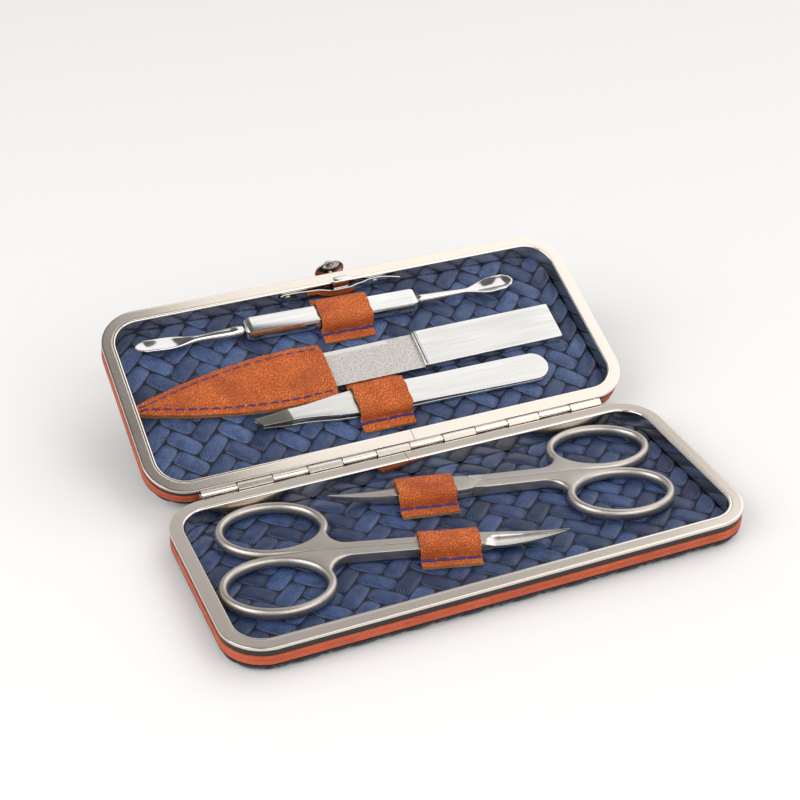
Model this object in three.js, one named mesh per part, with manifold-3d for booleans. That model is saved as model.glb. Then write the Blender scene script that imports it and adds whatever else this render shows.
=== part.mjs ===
// Manicure set case: two shallow trays joined by a piano hinge, with a push-button clasp,
// four leather loops and five tools. Millimetres, +Z up. The origin is the centre of the
// lower tray's flat underside, +X runs along the hinge, +Y points to the raised upper tray.
import * as THREE from "three";
import { mergeVertices } from "three/addons/utils/BufferGeometryUtils.js";
import Module from "manifold-3d";

const wasm = await Module();
wasm.setup();

// Driving dimensions
const HALF_TURN = Math.PI;
const QUARTER_TURN = Math.PI / 2;
const degrees = (angle) => (angle * Math.PI) / 180;

// Both trays
const caseLength = 142; // along the hinge
const trayWidth = 61.4; // from hinge side to clasp side
const cornerRadius = 11.5;
const cornerSegments = 6; // facets in each rounded corner
const openTilt = degrees(23.6); // how far the upper tray stands up from flat at its stop
const layerGap = 0.1; // between stacked sheets of one tray
const seatGap = 0.15; // between a tool and the lining under it

// Metal rim frame, a bent strip with a flat face, an outer lip and a deep inner wall
const frameFace = 3.8;
const frameSheet = 0.7;
const outerLipHeight = 0.9;
const outerLipSheet = 0.6;
const seamWidth = 0.2; // butt seam where the strip's ends meet
const seamX = 2.4;

// Sheets inside and outside, measured down from the rim plane or in from the tray's outline
const recessDepth = 4.9; // rim plane to lining
const liningThickness = 0.8;
const padThickness = 0.6;
const shellFloor = 0.7;
const shellWall = 0.9;
const coverThickness = 0.7;
const coverEdgeRadius = 2.4;
const coverEdgeSteps = 3; // facets in the rounded lower edge
const coverInset = 0.1;
const bandInset = 0.05;
const bandThickness = 0.85;
const bandTop = 2.65;
const bandHeight = 2.85;
const bandGrooveDepth = 0.3;
const bandGrooveHeight = 0.35;

// Piano hinge
const hingeLength = 118;
const knuckleCount = 12;
const knuckleRadius = 1.15;
const knuckleGap = 0.25;
const knuckleFacets = 14;
const pinRadius = 0.55;
const pinClearance = 0.07;
const hingeOffset = 1.7; // hinge axis to each tray's outer edge
const rimBelowAxis = 0.1; // keeps the two rims apart when the case is closed
const leafSheet = 0.7;
const leafSeat = 0.25; // leaf to frame lip
const leafHeight = 2.5;
const stopLength = 5;
const stopSheet = 0.55;
const stopReach = 1.5; // past the axis, up to the upper leaf at rest
const stopDrop = 1.75; // below the axis
const stopEndInset = 8;

// Clasp
const clasp = {
    x: 0.4,
    depth: 1.8, // stem below the rim plane
    stemRadius: 0.75,
    stemClearance: 0.25,
    fitGap: 0.06, // stem in the button's socket and in the hook
    knobRadius: 4.7,
    knobFlange: 0.7,
    knobDome: 2.6,
    knobDomeSteps: 6,
    knobFacets: 28,
    knobStandOff: 1.1, // knob to outer wall, more than the button's travel
    hookWidth: 4.5,
    hookSideways: 0.85, // hook's middle from the stem
    hookSheet: 0.6,
    hookGap: 1, // hook's outer face to the frame's inner wall
    hookRise: 2.2, // above the rim plane
    hookFoot: 3.3, // below the rim plane
    lipHeight: 0.7,
    lipCatch: 0.4, // how far the lip enters the opposite frame's wall
    slotMargin: 0.5,
    springSheet: 0.4,
    springHeight: 2.4,
    springTop: 0.9, // below the rim plane
    springLeft: -17,
    springRight: 20,
    springStations: 37,
    rivetPlaces: [-14.6, 12.4], // along the spring
    rivetRadius: 0.45,
    rivetHeadRadius: 0.85,
    rivetHead: 0.35,
    rivetTail: 0.5, // behind the frame's inner wall
};
// Gap between the leaf spring and the frame's inner wall at shares of its length.
const springBow = [
    [0, 0.5], [0.03, 0.12], [0.11, 0.12], [0.3, 0.3], [0.56, 0.3],
    [0.67, 0.4], [0.75, 0.12], [0.84, 0.12], [1, 1.2],
];

// Leather loops
const loopSheet = 0.9;
const loopLength = 15.4;
const loopTopClearance = 0.2;
const loopRearFlap = 2.2;
const loopShoulder = 1.2; // inner radius of the arch's shoulders
const loopShoulderSteps = 4;

// Where each tool lies: x along the hinge, y from the hinge axis, angle seen from above
const nailPlace = { x: -1, y: 16.8, angle: degrees(12) };
const cuticlePlace = { x: -4, y: 40.5, angle: degrees(15.3) };
const tweezersPlace = { x: 7.3, y: 18.7, angle: degrees(-1) };
const cleanerPlace = { x: -4.1, y: 50.2, angle: degrees(-1.5) };
const filePlace = { x: -0.4, y: 32.2, angle: degrees(0) };

// Loops over the tools: middle along and across the tool, tunnel width, flap towards the viewer
const nailLoop = { along: 1.7, across: 0.5, width: 8.2, flap: 3.8 };
const cuticleLoop = { along: 2.5, across: 0.3, width: 6.4, flap: 3 };
const tweezersLoop = { along: -8, across: 0, width: 9.3, flap: 3.6 };
const cleanerLoop = { along: 3.3, across: 0, width: 8.2, flap: 3.6 };

// Scissors: the lower half is the upper one turned over about the long axis
const scissorsHeight = 3.1;
const scissorsHalfGap = 0.06; // between the two halves' flat faces
const ringBar = 2.4;
const ringLongRadius = 14.6;
const ringFacets = 30;
const ringChamfer = 0.75;
const ringCentreGap = 0.08; // half the gap between the two rings
const heelX = -10.8; // where the blade leaves the pivot plate
const plateHeel = 4; // full width of the pivot plate reaches this far behind the pivot
const screwRadius = 1.2;
const screwClearance = 0.08;
const screwHeadRadius = 1.9;
const screwHeadHeight = 0.35;
const bladeTipHalf = 0.25;
const bladeTipSheet = 0.55;
const bladeStations = 14;
const bladeTaper = 1.5; // how late the blade narrows on its way to the tip
const crotchSegments = 6;
// The crotch where a shank swells into its ring, as shares of the ring's radii and the shank
const crotch = {
    innerAlong: 0.55, innerAcross: 0.26, bend: 0.22, bendAcross: 0.42, touch: 0.05, touchAcross: 0.72,
    outerAcross: 1.25, shankAlong: 0.3, shankAcross: 1.06,
};
// plateShoulder and platePoint are where the pivot plate's V ends at the edges and the middle
const nail = {
    shankHalf: 2.65, plateHalf: 3.1, bladeHalf: 1.9, bladeSide: -0.3, tipSide: 0.6, tipRise: 1.2,
    bladeLength: 27.4, ringDistance: 49.2, ringSpread: 10.58,
    plateEnd: 8, plateShoulder: 10.8, platePoint: 13.7,
};
const cuticle = {
    shankHalf: 2.45, plateHalf: 2.5, bladeHalf: 2.2, bladeSide: 0.3, tipSide: 0.2, tipRise: 1.8,
    bladeLength: 28.6, ringDistance: 46.4, ringSpread: 11.3,
    plateEnd: 4, plateShoulder: 6, platePoint: 8.8,
};

// Tweezers: two arms joined at the rounded end
const tweezersLength = 87.4;
const tweezersWidth = 8.9;
const tweezersMidWidth = 8.1;
const tweezersTipWidth = 2.9;
const armSheet = 0.9;
const armSpread = 0.8; // half the gap between the arms
const armJointLength = 9;
const tipBevelLength = 9;
const tipSlant = 1.2;
const tipSlantReach = 3; // the slanted cut's line goes on past the tip by this many slants
const armEndSegments = 12;
const tipGap = 0.45; // half the gap between the tips
const tipSheetShare = 0.7; // the arms thin towards the tips
const armJointGap = 0.06;
const armStations = 34;
// Arm width at shares of the length from the tip
const armWidths = [
    [0, tweezersTipWidth], [0.11, 3.9], [0.33, 7.7], [0.52, tweezersMidWidth], [0.9, tweezersWidth],
];

// Double-ended cuticle tool: a hollow six-sided handle with a steel piece in each end
const handleLength = 52.6;
const handleTopWidth = 5.4;
const handleWidth = 7;
const handleHeight = 4.2;
const handleEndChamfer = 1.5;
const handleEndSteps = 2;
const handleWall = 0.6;
const handleCap = 2.5; // solid end around the bore
const handleBore = 1.25;
const tangClearance = 0.06;
const tangLength = 5;
const tangOverlap = 1; // tang reaches this far into the neck
const endStations = 16;
const endFacets = 12;
// Widths, heights and rises of the end pieces at shares of their length from the handle
const pusher = {
    length: 31.4,
    widths: [[0, 3.3], [0.1, 3.7], [0.38, 2.5], [0.72, 4.2], [0.93, 3.6], [1, 1.2]],
    heights: [[0, 2.8], [0.1, 3], [0.45, 1.9], [0.75, 1.2], [1, 0.6]],
    rises: [[0, 0], [0.5, 0], [1, 0.7]],
};
const spoon = {
    length: 30.6,
    widths: [[0, 2.8], [0.12, 3], [0.5, 1.9], [0.8, 5.4], [0.92, 5], [1, 1.4]],
    heights: [[0, 2.7], [0.12, 2.8], [0.5, 1.8], [0.8, 1.6], [1, 0.8]],
    rises: [[0, 0], [0.5, 0], [1, 1.5]],
};

// Nail file and its sheath
const fileHandleLength = 44.2;
const fileHandleWidth = 12.5;
const fileHandleHeight = 2.8;
const fileStations = 20;
const fileHandleX = 16.3; // its left end
const fileSleeveWall = 0.6;
const bladeSheet = 0.7;
const bladeWidth = 12;
const bladeTipX = -52;
const bladePointLength = 34;
const bladePointHalf = 0.5;
const tangDepth = 9;
const tangSwell = 0.25; // the tang is swaged thicker than the blade
const sleeveClearance = 0.08;
const sheathSheet = 0.9;
const sheathTipX = -66.4;
const sheathMouthX = -11.2;
const sheathWidth = 18.8;
const sheathTipWidth = 2.4;
const sheathBladeGap = 0.12;
const sheathSeam = 2.2; // stitched edge outside the pocket
const sheathSlope = 1.6; // over which the front layer comes down to the seam
const sheathStations = 14;
const sheathAcross = 10;
const sheathFull = 0.86; // share of the length where the ogive is widest
const sheathFullness = 0.85;

// Derived places
const trayHeight = recessDepth + liningThickness + padThickness + shellFloor + coverThickness + 3 * layerGap;
const innerInset = frameFace;
const frameWallOuter = frameFace - frameSheet;
const liningTop = -recessDepth;
const padTop = liningTop - liningThickness - layerGap;
const shellInset = bandInset + bandThickness + layerGap;
const floorTop = padTop - padThickness - layerGap;
const shellBottom = floorTop - shellFloor;
const trayCentreY = hingeOffset + trayWidth / 2;
const outerWallY = hingeOffset + trayWidth;
const innerWallY = outerWallY - frameFace;
const toolFloor = liningTop + seatGap;
const springMiddle = -clasp.springTop - clasp.springHeight / 2;

// Solid helpers
function solidOf(geometry) {
    const clean = geometry.clone();
    clean.deleteAttribute("normal");
    clean.deleteAttribute("uv");
    const welded = mergeVertices(clean);
    const mesh = new wasm.Mesh({
        numProp: 3,
        vertProperties: new Float32Array(welded.attributes.position.array),
        triVerts: new Uint32Array(welded.index.array),
    });
    return new wasm.Manifold(mesh);
}

function geometryOf(solid) {
    const mesh = solid.getMesh();
    const geometry = new THREE.BufferGeometry();
    geometry.setAttribute("position", new THREE.Float32BufferAttribute(mesh.vertProperties, mesh.numProp));
    geometry.setIndex(Array.from(mesh.triVerts));
    geometry.computeVertexNormals();
    return geometry;
}

function boxSolid(low, high) {
    const size = high.map((value, axis) => value - low[axis]);
    const geometry = new THREE.BoxGeometry(...size);
    geometry.translate(...low.map((value, axis) => value + size[axis] / 2));
    return solidOf(geometry);
}

// A cylinder between two points on a line along one axis: 0 is X, 1 is Y, 2 is Z.
function rodSolid(axis, from, to, centre, radius, facets = knuckleFacets) {
    const geometry = new THREE.CylinderGeometry(radius, radius, to - from, facets);
    if (axis === 0) geometry.rotateZ(QUARTER_TURN);
    if (axis === 2) geometry.rotateX(QUARTER_TURN);
    const place = [...centre];
    place[axis] = (from + to) / 2;
    geometry.translate(...place);
    return solidOf(geometry);
}

// Rounded rectangle of the tray's outline moved in by an inset.
function trayOutline(inset, path = new THREE.Shape()) {
    const halfLength = caseLength / 2 - inset;
    const halfWidth = trayWidth / 2 - inset;
    const radius = cornerRadius - inset;
    const right = halfLength - radius;
    const back = halfWidth - radius;
    path.absarc(right, back, radius, 0, QUARTER_TURN, false);
    path.absarc(-right, back, radius, QUARTER_TURN, HALF_TURN, false);
    path.absarc(-right, -back, radius, HALF_TURN, HALF_TURN + QUARTER_TURN, false);
    path.absarc(right, -back, radius, -QUARTER_TURN, 0, false);
    path.closePath();
    return path;
}

function extruded(shape, low, high, options = {}) {
    const chamfer = options.chamfer ?? 0;
    const geometry = new THREE.ExtrudeGeometry(shape, {
        depth: high - low - 2 * chamfer,
        curveSegments: options.segments ?? cornerSegments,
        bevelEnabled: chamfer > 0,
        bevelThickness: chamfer,
        bevelSize: chamfer,
        bevelOffset: -chamfer,
        bevelSegments: options.bevelSegments ?? 1,
    });
    geometry.translate(0, 0, low + chamfer);
    return geometry;
}

// A plate with the tray's outline, from low to high.
function trayPlate(inset, low, high) {
    const geometry = extruded(trayOutline(inset), low, high);
    geometry.translate(0, trayCentreY, 0);
    return solidOf(geometry);
}

// A ring between two insets.
function trayRing(outerInset, ringInset, low, high) {
    const shape = trayOutline(outerInset);
    shape.holes.push(trayOutline(ringInset, new THREE.Path()));
    const geometry = extruded(shape, low, high);
    geometry.translate(0, trayCentreY, 0);
    return solidOf(geometry);
}

// A block with the tray's outline whose lower edge is rounded; its top is cut flat.
function trayTub(inset, low, high, edgeRadius) {
    const shape = trayOutline(inset);
    const geometry = extruded(shape, low, high + 2 * edgeRadius, {
        chamfer: edgeRadius, bevelSegments: coverEdgeSteps,
    });
    geometry.translate(0, trayCentreY, 0);
    const lid = boxSolid([-caseLength, -trayWidth, high], [caseLength, 2 * trayWidth, high + 3 * edgeRadius]);
    return solidOf(geometry).subtract(lid);
}

// A bar along X. Its section is worked out at each station from 0 (start) to 1 (end):
// side is the middle's sideways place, half is half the width, low and high are heights.
function stationBar(start, end, stations, section, acrossSegments = 1) {
    const geometry = new THREE.BoxGeometry(1, 2, 1, stations, acrossSegments, 1);
    const position = geometry.attributes.position;
    for (let index = 0; index < position.count; index += 1) {
        const share = position.getX(index) + 0.5;
        const across = position.getY(index);
        const { side, half, low, high } = section(share, across);
        const upper = position.getZ(index) > 0;
        position.setXYZ(index, start + share * (end - start), side + across * half, upper ? high : low);
    }
    return solidOf(geometry);
}

// A round bar along X whose section is an oval that changes from station to station.
function ovalBar(start, end, stations, section, facets = endFacets) {
    const geometry = new THREE.CylinderGeometry(1, 1, 1, facets, stations);
    geometry.rotateZ(QUARTER_TURN);
    const position = geometry.attributes.position;
    for (let index = 0; index < position.count; index += 1) {
        const share = 0.5 + position.getX(index);
        const { side, middle, halfWidth, halfHeight } = section(share);
        position.setXYZ(
            index,
            start + share * (end - start),
            side + position.getY(index) * halfWidth,
            middle + position.getZ(index) * halfHeight,
        );
    }
    return solidOf(geometry);
}

const blend = (from, to, share) => from + (to - from) * share;
const smoothShare = (share) => share * share * (3 - 2 * share);

// Value at a share of the way through a list of [share, value] stops, with eased steps.
function alongStops(stops, share) {
    let [previousShare, previousValue] = stops[0];
    for (const [stopShare, value] of stops) {
        if (share <= stopShare) {
            const span = stopShare - previousShare;
            const local = span > 0 ? (share - previousShare) / span : 1;
            return blend(previousValue, value, smoothShare(local));
        }
        [previousShare, previousValue] = [stopShare, value];
    }
    return previousValue;
}

const looks = {
    rim: { color: 0xc9bfb2, metalness: 1, roughness: 0.35 },
    hinge: { color: 0xd9d4cc, metalness: 1, roughness: 0.3 },
    steel: { color: 0xb9b4ac, metalness: 1, roughness: 0.38 },
    polished: { color: 0xe4e2de, metalness: 1, roughness: 0.18 },
    chrome: { color: 0xdedede, metalness: 1, roughness: 0.08 },
    grit: { color: 0xb9b5ab, metalness: 0.1, roughness: 0.85 },
    orange: { color: 0xcb6236, metalness: 0, roughness: 0.6 },
    blue: { color: 0x46587f, metalness: 0, roughness: 0.55 },
    navy: { color: 0x2c3345, metalness: 0, roughness: 0.55 },
    shell: { color: 0x22211f, metalness: 0, roughness: 0.5 },
    board: { color: 0x8d7f6a, metalness: 0, roughness: 0.9 },
};

function piece(name, look, solid, parent) {
    const { color, metalness, roughness } = looks[look];
    const material = new THREE.MeshStandardMaterial({ color, metalness, roughness });
    const mesh = new THREE.Mesh(geometryOf(solid), material);
    mesh.name = name;
    parent.add(mesh);
    return mesh;
}

// Trays
function frameSolid(withCatch) {
    let frame = trayRing(0, innerInset, -frameSheet, 0);
    frame = frame.add(trayRing(0, outerLipSheet, -outerLipHeight, -frameSheet / 2));
    frame = frame.add(trayRing(frameWallOuter, innerInset, padTop + layerGap, -frameSheet / 2));
    const seamLow = [seamX - seamWidth / 2, 0, -trayHeight];
    const seamHigh = [seamX + seamWidth / 2, hingeOffset + 2 * frameFace, frameSheet];
    frame = frame.subtract(boxSolid(seamLow, seamHigh));
    return withCatch ? frame.subtract(catchSlot()) : frame.subtract(stemBore()).subtract(rivetBores());
}

// The slot in the opposite frame's inner wall that the hook's lip enters when closed.
function catchSlot() {
    const hookMiddle = clasp.x + clasp.hookSideways;
    const halfSlot = clasp.hookWidth / 2 + clasp.slotMargin;
    const low = 2 * rimBelowAxis - clasp.hookRise - clasp.slotMargin;
    const high = low + clasp.lipHeight + 2 * clasp.slotMargin;
    return boxSolid(
        [-hookMiddle - halfSlot, innerWallY - frameSheet, low],
        [-hookMiddle + halfSlot, innerWallY + 2 * frameSheet, high],
    );
}

function rivetBores() {
    const boreRadius = clasp.rivetRadius + clasp.fitGap;
    const inside = innerWallY - frameSheet;
    const outside = innerWallY + 2 * frameSheet;
    const [left, right] = clasp.rivetPlaces.map((x) => (
        rodSolid(1, inside, outside, [x, 0, springMiddle], boreRadius)
    ));
    return left.add(right);
}

// The hole that the button's stem passes through.
function stemBore() {
    const centre = [clasp.x, 0, -clasp.depth];
    const boreRadius = clasp.stemRadius + clasp.stemClearance;
    return rodSolid(1, innerWallY - frameSheet, outerWallY + frameSheet, centre, boreRadius);
}

function shellSolid(withStem) {
    const innerRadius = coverEdgeRadius - coverThickness - shellWall;
    const outer = trayTub(shellInset, shellBottom, -frameSheet - layerGap, coverEdgeRadius - coverThickness);
    const inner = trayTub(shellInset + shellWall, floorTop, 0, innerRadius);
    const shell = outer.subtract(inner);
    return withStem ? shell.subtract(stemBore()) : shell;
}

function coverSolid() {
    const top = -bandTop - bandHeight - layerGap;
    const outer = trayTub(coverInset, -trayHeight, top, coverEdgeRadius);
    const innerRadius = coverEdgeRadius - coverThickness;
    const inner = trayTub(coverInset + coverThickness, -trayHeight + coverThickness, 0, innerRadius);
    return outer.subtract(inner);
}

function bandSolid() {
    const band = trayRing(bandInset, bandInset + bandThickness, -bandTop - bandHeight, -bandTop);
    const middle = -bandTop - bandHeight / 2;
    const half = bandGrooveHeight / 2;
    return band.subtract(trayRing(-bandInset, bandInset + bandGrooveDepth, middle - half, middle + half));
}

// One leaf of the hinge with every second knuckle. The two trays face each other, so the
// same leaf turned half round fills the other's gaps.
function leafSolid() {
    const pitch = hingeLength / knuckleCount;
    const far = hingeOffset - leafSeat;
    const near = far - leafSheet;
    const axisZ = rimBelowAxis;
    const clearZ = axisZ - knuckleRadius - knuckleGap;
    let leaf = boxSolid([-hingeLength / 2, near, -leafHeight], [hingeLength / 2, far, clearZ]);
    for (let index = 0; index < knuckleCount; index += 2) {
        const left = -hingeLength / 2 + index * pitch + knuckleGap / 2;
        const right = left + pitch - knuckleGap;
        leaf = leaf.add(boxSolid([left, near, clearZ - leafSheet / 2], [right, far, axisZ]));
        leaf = leaf.add(rodSolid(0, left, right, [0, 0, axisZ], knuckleRadius));
    }
    const boreRadius = pinRadius + pinClearance;
    return leaf.subtract(rodSolid(0, -caseLength, caseLength, [0, 0, axisZ], boreRadius));
}

// Tongues on the lower leaf that the upper leaf leans on when the case is open.
function stopSolid() {
    const near = hingeOffset - leafSeat - leafSheet / 2;
    const high = rimBelowAxis - stopDrop;
    const outer = hingeLength / 2 - stopEndInset;
    const left = boxSolid([-outer, -stopReach, high - stopSheet], [-outer + stopLength, near, high]);
    const right = boxSolid([outer - stopLength, -stopReach, high - stopSheet], [outer, near, high]);
    return left.add(right);
}

function buildTray(prefix, parent, carriesClasp) {
    piece(`${prefix}_rim_frame`, "rim", frameSolid(!carriesClasp), parent);
    const leaf = carriesClasp ? leafSolid() : leafSolid().add(stopSolid());
    piece(`${prefix}_hinge_leaf`, "hinge", leaf, parent);
    piece(`${prefix}_shell`, "shell", shellSolid(carriesClasp), parent);
    piece(`${prefix}_side_band`, "orange", bandSolid(), parent);
    piece(`${prefix}_leather_cover`, "navy", coverSolid(), parent);
    const padEdge = shellInset + shellWall + layerGap + coverEdgeRadius - coverThickness - shellWall;
    piece(`${prefix}_padded_board`, "board", trayPlate(padEdge, padTop - padThickness, padTop), parent);
    const lining = trayPlate(innerInset + layerGap, liningTop - liningThickness, liningTop);
    piece(`${prefix}_woven_lining`, "blue", lining, parent);
}

// Clasp
function knobSolid() {
    const { knobRadius, knobFlange, knobDome, knobDomeSteps, stemRadius } = clasp;
    const profile = [new THREE.Vector2(0, 0), new THREE.Vector2(knobRadius, 0)];
    profile.push(new THREE.Vector2(knobRadius, knobFlange));
    for (let step = 0; step < knobDomeSteps; step += 1) {
        const angle = (QUARTER_TURN * step) / knobDomeSteps;
        const radius = (knobRadius - stemRadius) * Math.cos(angle);
        profile.push(new THREE.Vector2(radius, knobFlange + (knobDome - knobFlange) * Math.sin(angle)));
    }
    profile.push(new THREE.Vector2(0, knobDome));
    const knob = new THREE.LatheGeometry(profile, clasp.knobFacets);
    knob.translate(clasp.x, outerWallY + clasp.knobStandOff, -clasp.depth);
    return solidOf(knob);
}

function buildClasp(parent) {
    const { x, depth, stemRadius, fitGap, hookWidth, hookSheet, hookRise, hookFoot, lipHeight } = clasp;
    const { springLeft, springRight, springSheet, knobFlange } = clasp;
    const centre = [x, 0, -depth];
    const knobInner = outerWallY + clasp.knobStandOff;
    const hookOuter = innerWallY - clasp.hookGap;
    const hookInner = hookOuter - hookSheet;
    const socket = rodSolid(1, knobInner - knobFlange, knobInner + knobFlange, centre, stemRadius + fitGap);
    piece("clasp_button", "chrome", knobSolid().subtract(socket), parent);
    const stem = rodSolid(1, hookInner, knobInner + knobFlange - fitGap, centre, stemRadius);
    piece("clasp_stem", "steel", stem, parent);

    const hookLeft = x + clasp.hookSideways - hookWidth / 2;
    const hookRight = hookLeft + hookWidth;
    const plate = boxSolid([hookLeft, hookInner, -hookFoot], [hookRight, hookOuter, hookRise]);
    const lipEnd = innerWallY + clasp.lipCatch;
    const lip = boxSolid([hookLeft, hookInner, hookRise - lipHeight], [hookRight, lipEnd, hookRise]);
    const hookBore = rodSolid(1, hookInner - hookSheet, innerWallY, centre, stemRadius + fitGap);
    piece("clasp_hook", "chrome", plate.add(lip).subtract(hookBore), parent);

    const spring = stationBar(springLeft, springRight, clasp.springStations, (share) => ({
        side: innerWallY - springSheet / 2 - alongStops(springBow, share),
        half: springSheet / 2,
        low: springMiddle - clasp.springHeight / 2,
        high: springMiddle + clasp.springHeight / 2,
    }));
    const springBore = rodSolid(1, hookInner, innerWallY, centre, stemRadius + clasp.stemClearance);
    const springSolid = spring.subtract(springBore).subtract(rivetBores());
    piece("clasp_leaf_spring", "chrome", springSolid, parent);
    clasp.rivetPlaces.forEach((place, index) => {
        const share = (place - springLeft) / (springRight - springLeft);
        const springFace = innerWallY - alongStops(springBow, share) - springSheet - fitGap;
        const middle = [place, 0, springMiddle];
        const headFace = springFace - clasp.rivetHead;
        const tailEnd = innerWallY + frameSheet + clasp.rivetTail;
        const shaft = rodSolid(1, headFace, tailEnd, middle, clasp.rivetRadius);
        const head = rodSolid(1, headFace, springFace, middle, clasp.rivetHeadRadius);
        piece(`clasp_spring_rivet_${index === 0 ? "left" : "right"}`, "steel", shaft.add(head), parent);
    });
}

// Leather loops
// Side view of a loop: flaps on the lining to both sides of an arch over the tool. The
// flap towards the viewer, on the -Y side, carries the stitches.
function loopSolid(tunnelWidth, tunnelHeight, frontFlap) {
    const inner = tunnelWidth / 2;
    const outer = inner + loopSheet;
    const outerShoulder = loopShoulder + loopSheet;
    const shoulderZ = tunnelHeight - loopShoulder;
    const shape = new THREE.Shape();
    shape.moveTo(-outer - frontFlap, 0);
    shape.lineTo(-inner, 0);
    shape.absarc(-inner + loopShoulder, shoulderZ, loopShoulder, HALF_TURN, QUARTER_TURN, true);
    shape.absarc(inner - loopShoulder, shoulderZ, loopShoulder, QUARTER_TURN, 0, true);
    shape.lineTo(inner, 0);
    shape.lineTo(outer + loopRearFlap, 0);
    shape.lineTo(outer + loopRearFlap, loopSheet);
    shape.lineTo(outer, loopSheet);
    shape.absarc(outer - outerShoulder, shoulderZ, outerShoulder, 0, QUARTER_TURN, false);
    shape.absarc(-outer + outerShoulder, shoulderZ, outerShoulder, QUARTER_TURN, HALF_TURN, false);
    shape.lineTo(-outer, loopSheet);
    shape.lineTo(-outer - frontFlap, loopSheet);
    shape.closePath();
    const geometry = extruded(shape, -loopLength / 2, loopLength / 2, { segments: loopShoulderSteps });
    geometry.rotateX(QUARTER_TURN);
    geometry.rotateZ(QUARTER_TURN);
    return solidOf(geometry);
}

// The viewer looks at the upper tray from its hinge side and at the lower one from the other.
function buildLoop(name, toolGroup, place, toolHeight, viewedFromHinge) {
    const tunnelHeight = seatGap - layerGap + toolHeight + loopTopClearance;
    const loop = piece(name, "orange", loopSolid(place.width, tunnelHeight, place.flap), toolGroup);
    loop.position.set(place.along, place.across, liningTop + layerGap);
    loop.rotation.z = viewedFromHinge ? 0 : HALF_TURN;
}

function toolGroupAt(place, parent, mirrored) {
    const toolGroup = new THREE.Group();
    toolGroup.position.set(mirrored ? -place.x : place.x, place.y, 0);
    toolGroup.rotation.z = mirrored ? -place.angle : place.angle;
    parent.add(toolGroup);
    return toolGroup;
}

// Scissors
// One half, with the pivot at the origin, its ring towards +X and +Y, and its blade above
// the middle plane towards -X. Both blades lie over each other, so the half that will be
// turned over has its blade's sideways offsets reversed.
function scissorsHalf(size, bladeSign) {
    const { ringDistance, ringSpread, shankHalf, plateHalf, bladeHalf } = size;
    const { plateEnd, plateShoulder, platePoint } = size;
    const thick = scissorsHeight / 2;
    const shortRadius = ringSpread - ringCentreGap;
    const ring = new THREE.Shape();
    ring.absellipse(ringDistance, ringSpread, ringLongRadius, shortRadius, 0, 2 * HALF_TURN, false);
    const hole = new THREE.Path();
    const holeRadii = [ringLongRadius - ringBar, shortRadius - ringBar];
    hole.absellipse(ringDistance, ringSpread, ...holeRadii, 0, 2 * HALF_TURN, false);
    ring.holes.push(hole);
    const ringOptions = { segments: ringFacets, chamfer: ringChamfer };
    const ringSolid = solidOf(extruded(ring, -thick, thick, ringOptions));

    // The shank fills its side of the middle line and swells into the ring.
    const ringStart = ringDistance - ringLongRadius;
    const shank = new THREE.Shape();
    shank.moveTo(plateShoulder, ringCentreGap + shankHalf);
    shank.lineTo(platePoint, ringCentreGap);
    shank.lineTo(ringDistance, ringCentreGap);
    shank.lineTo(
        ringDistance - ringLongRadius * crotch.innerAlong,
        ringCentreGap + ringSpread * crotch.innerAcross,
    );
    shank.quadraticCurveTo(
        ringStart + ringLongRadius * crotch.bend, ringSpread * crotch.bendAcross,
        ringStart + ringLongRadius * crotch.touch, ringSpread * crotch.touchAcross,
    );
    shank.quadraticCurveTo(
        ringStart, shankHalf * crotch.outerAcross,
        ringStart - ringLongRadius * crotch.shankAlong, shankHalf * crotch.shankAcross,
    );
    shank.closePath();
    const shankSolid = solidOf(extruded(shank, -thick, thick, { segments: crotchSegments }));

    // The pivot plate and the blade lie in the upper half of the thickness.
    const near = -shankHalf - ringCentreGap;
    const plate = new THREE.Shape();
    plate.moveTo(heelX, bladeSign * size.bladeSide - bladeHalf);
    plate.lineTo(-plateHeel, -plateHalf);
    plate.lineTo(plateEnd, -plateHalf);
    plate.lineTo(plateShoulder - layerGap, near);
    plate.lineTo(platePoint - layerGap, ringCentreGap);
    plate.lineTo(platePoint + shankHalf, ringCentreGap);
    plate.lineTo(plateShoulder + layerGap, shankHalf);
    plate.lineTo(plateEnd, plateHalf);
    plate.lineTo(-plateHeel, plateHalf);
    plate.lineTo(heelX, bladeSign * size.bladeSide + bladeHalf);
    plate.closePath();
    const plateSolid = solidOf(extruded(plate, scissorsHalfGap / 2, thick));
    const blade = stationBar(-size.bladeLength, heelX, bladeStations, (share) => {
        const past = 1 - share;
        return {
            side: bladeSign * blend(size.bladeSide, size.tipSide, past),
            half: blend(bladeHalf, bladeTipHalf, Math.pow(past, bladeTaper)),
            low: scissorsHalfGap / 2,
            high: blend(thick, bladeTipSheet, past),
        };
    });
    const bore = rodSolid(2, -scissorsHeight, scissorsHeight, [0, 0, 0], screwRadius + screwClearance);
    return ringSolid.add(shankSolid).add(plateSolid).add(blade).subtract(bore);
}

// Both blades curve up towards the tip.
function curvedTips(solid, size) {
    return solid.warp((vertex) => {
        const past = Math.max(0, heelX - vertex[0]) / (size.bladeLength + heelX);
        vertex[2] += size.tipRise * past * past;
    });
}

function turnedOver(solid) {
    return solid.rotate([180, 0, 0]);
}

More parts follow.
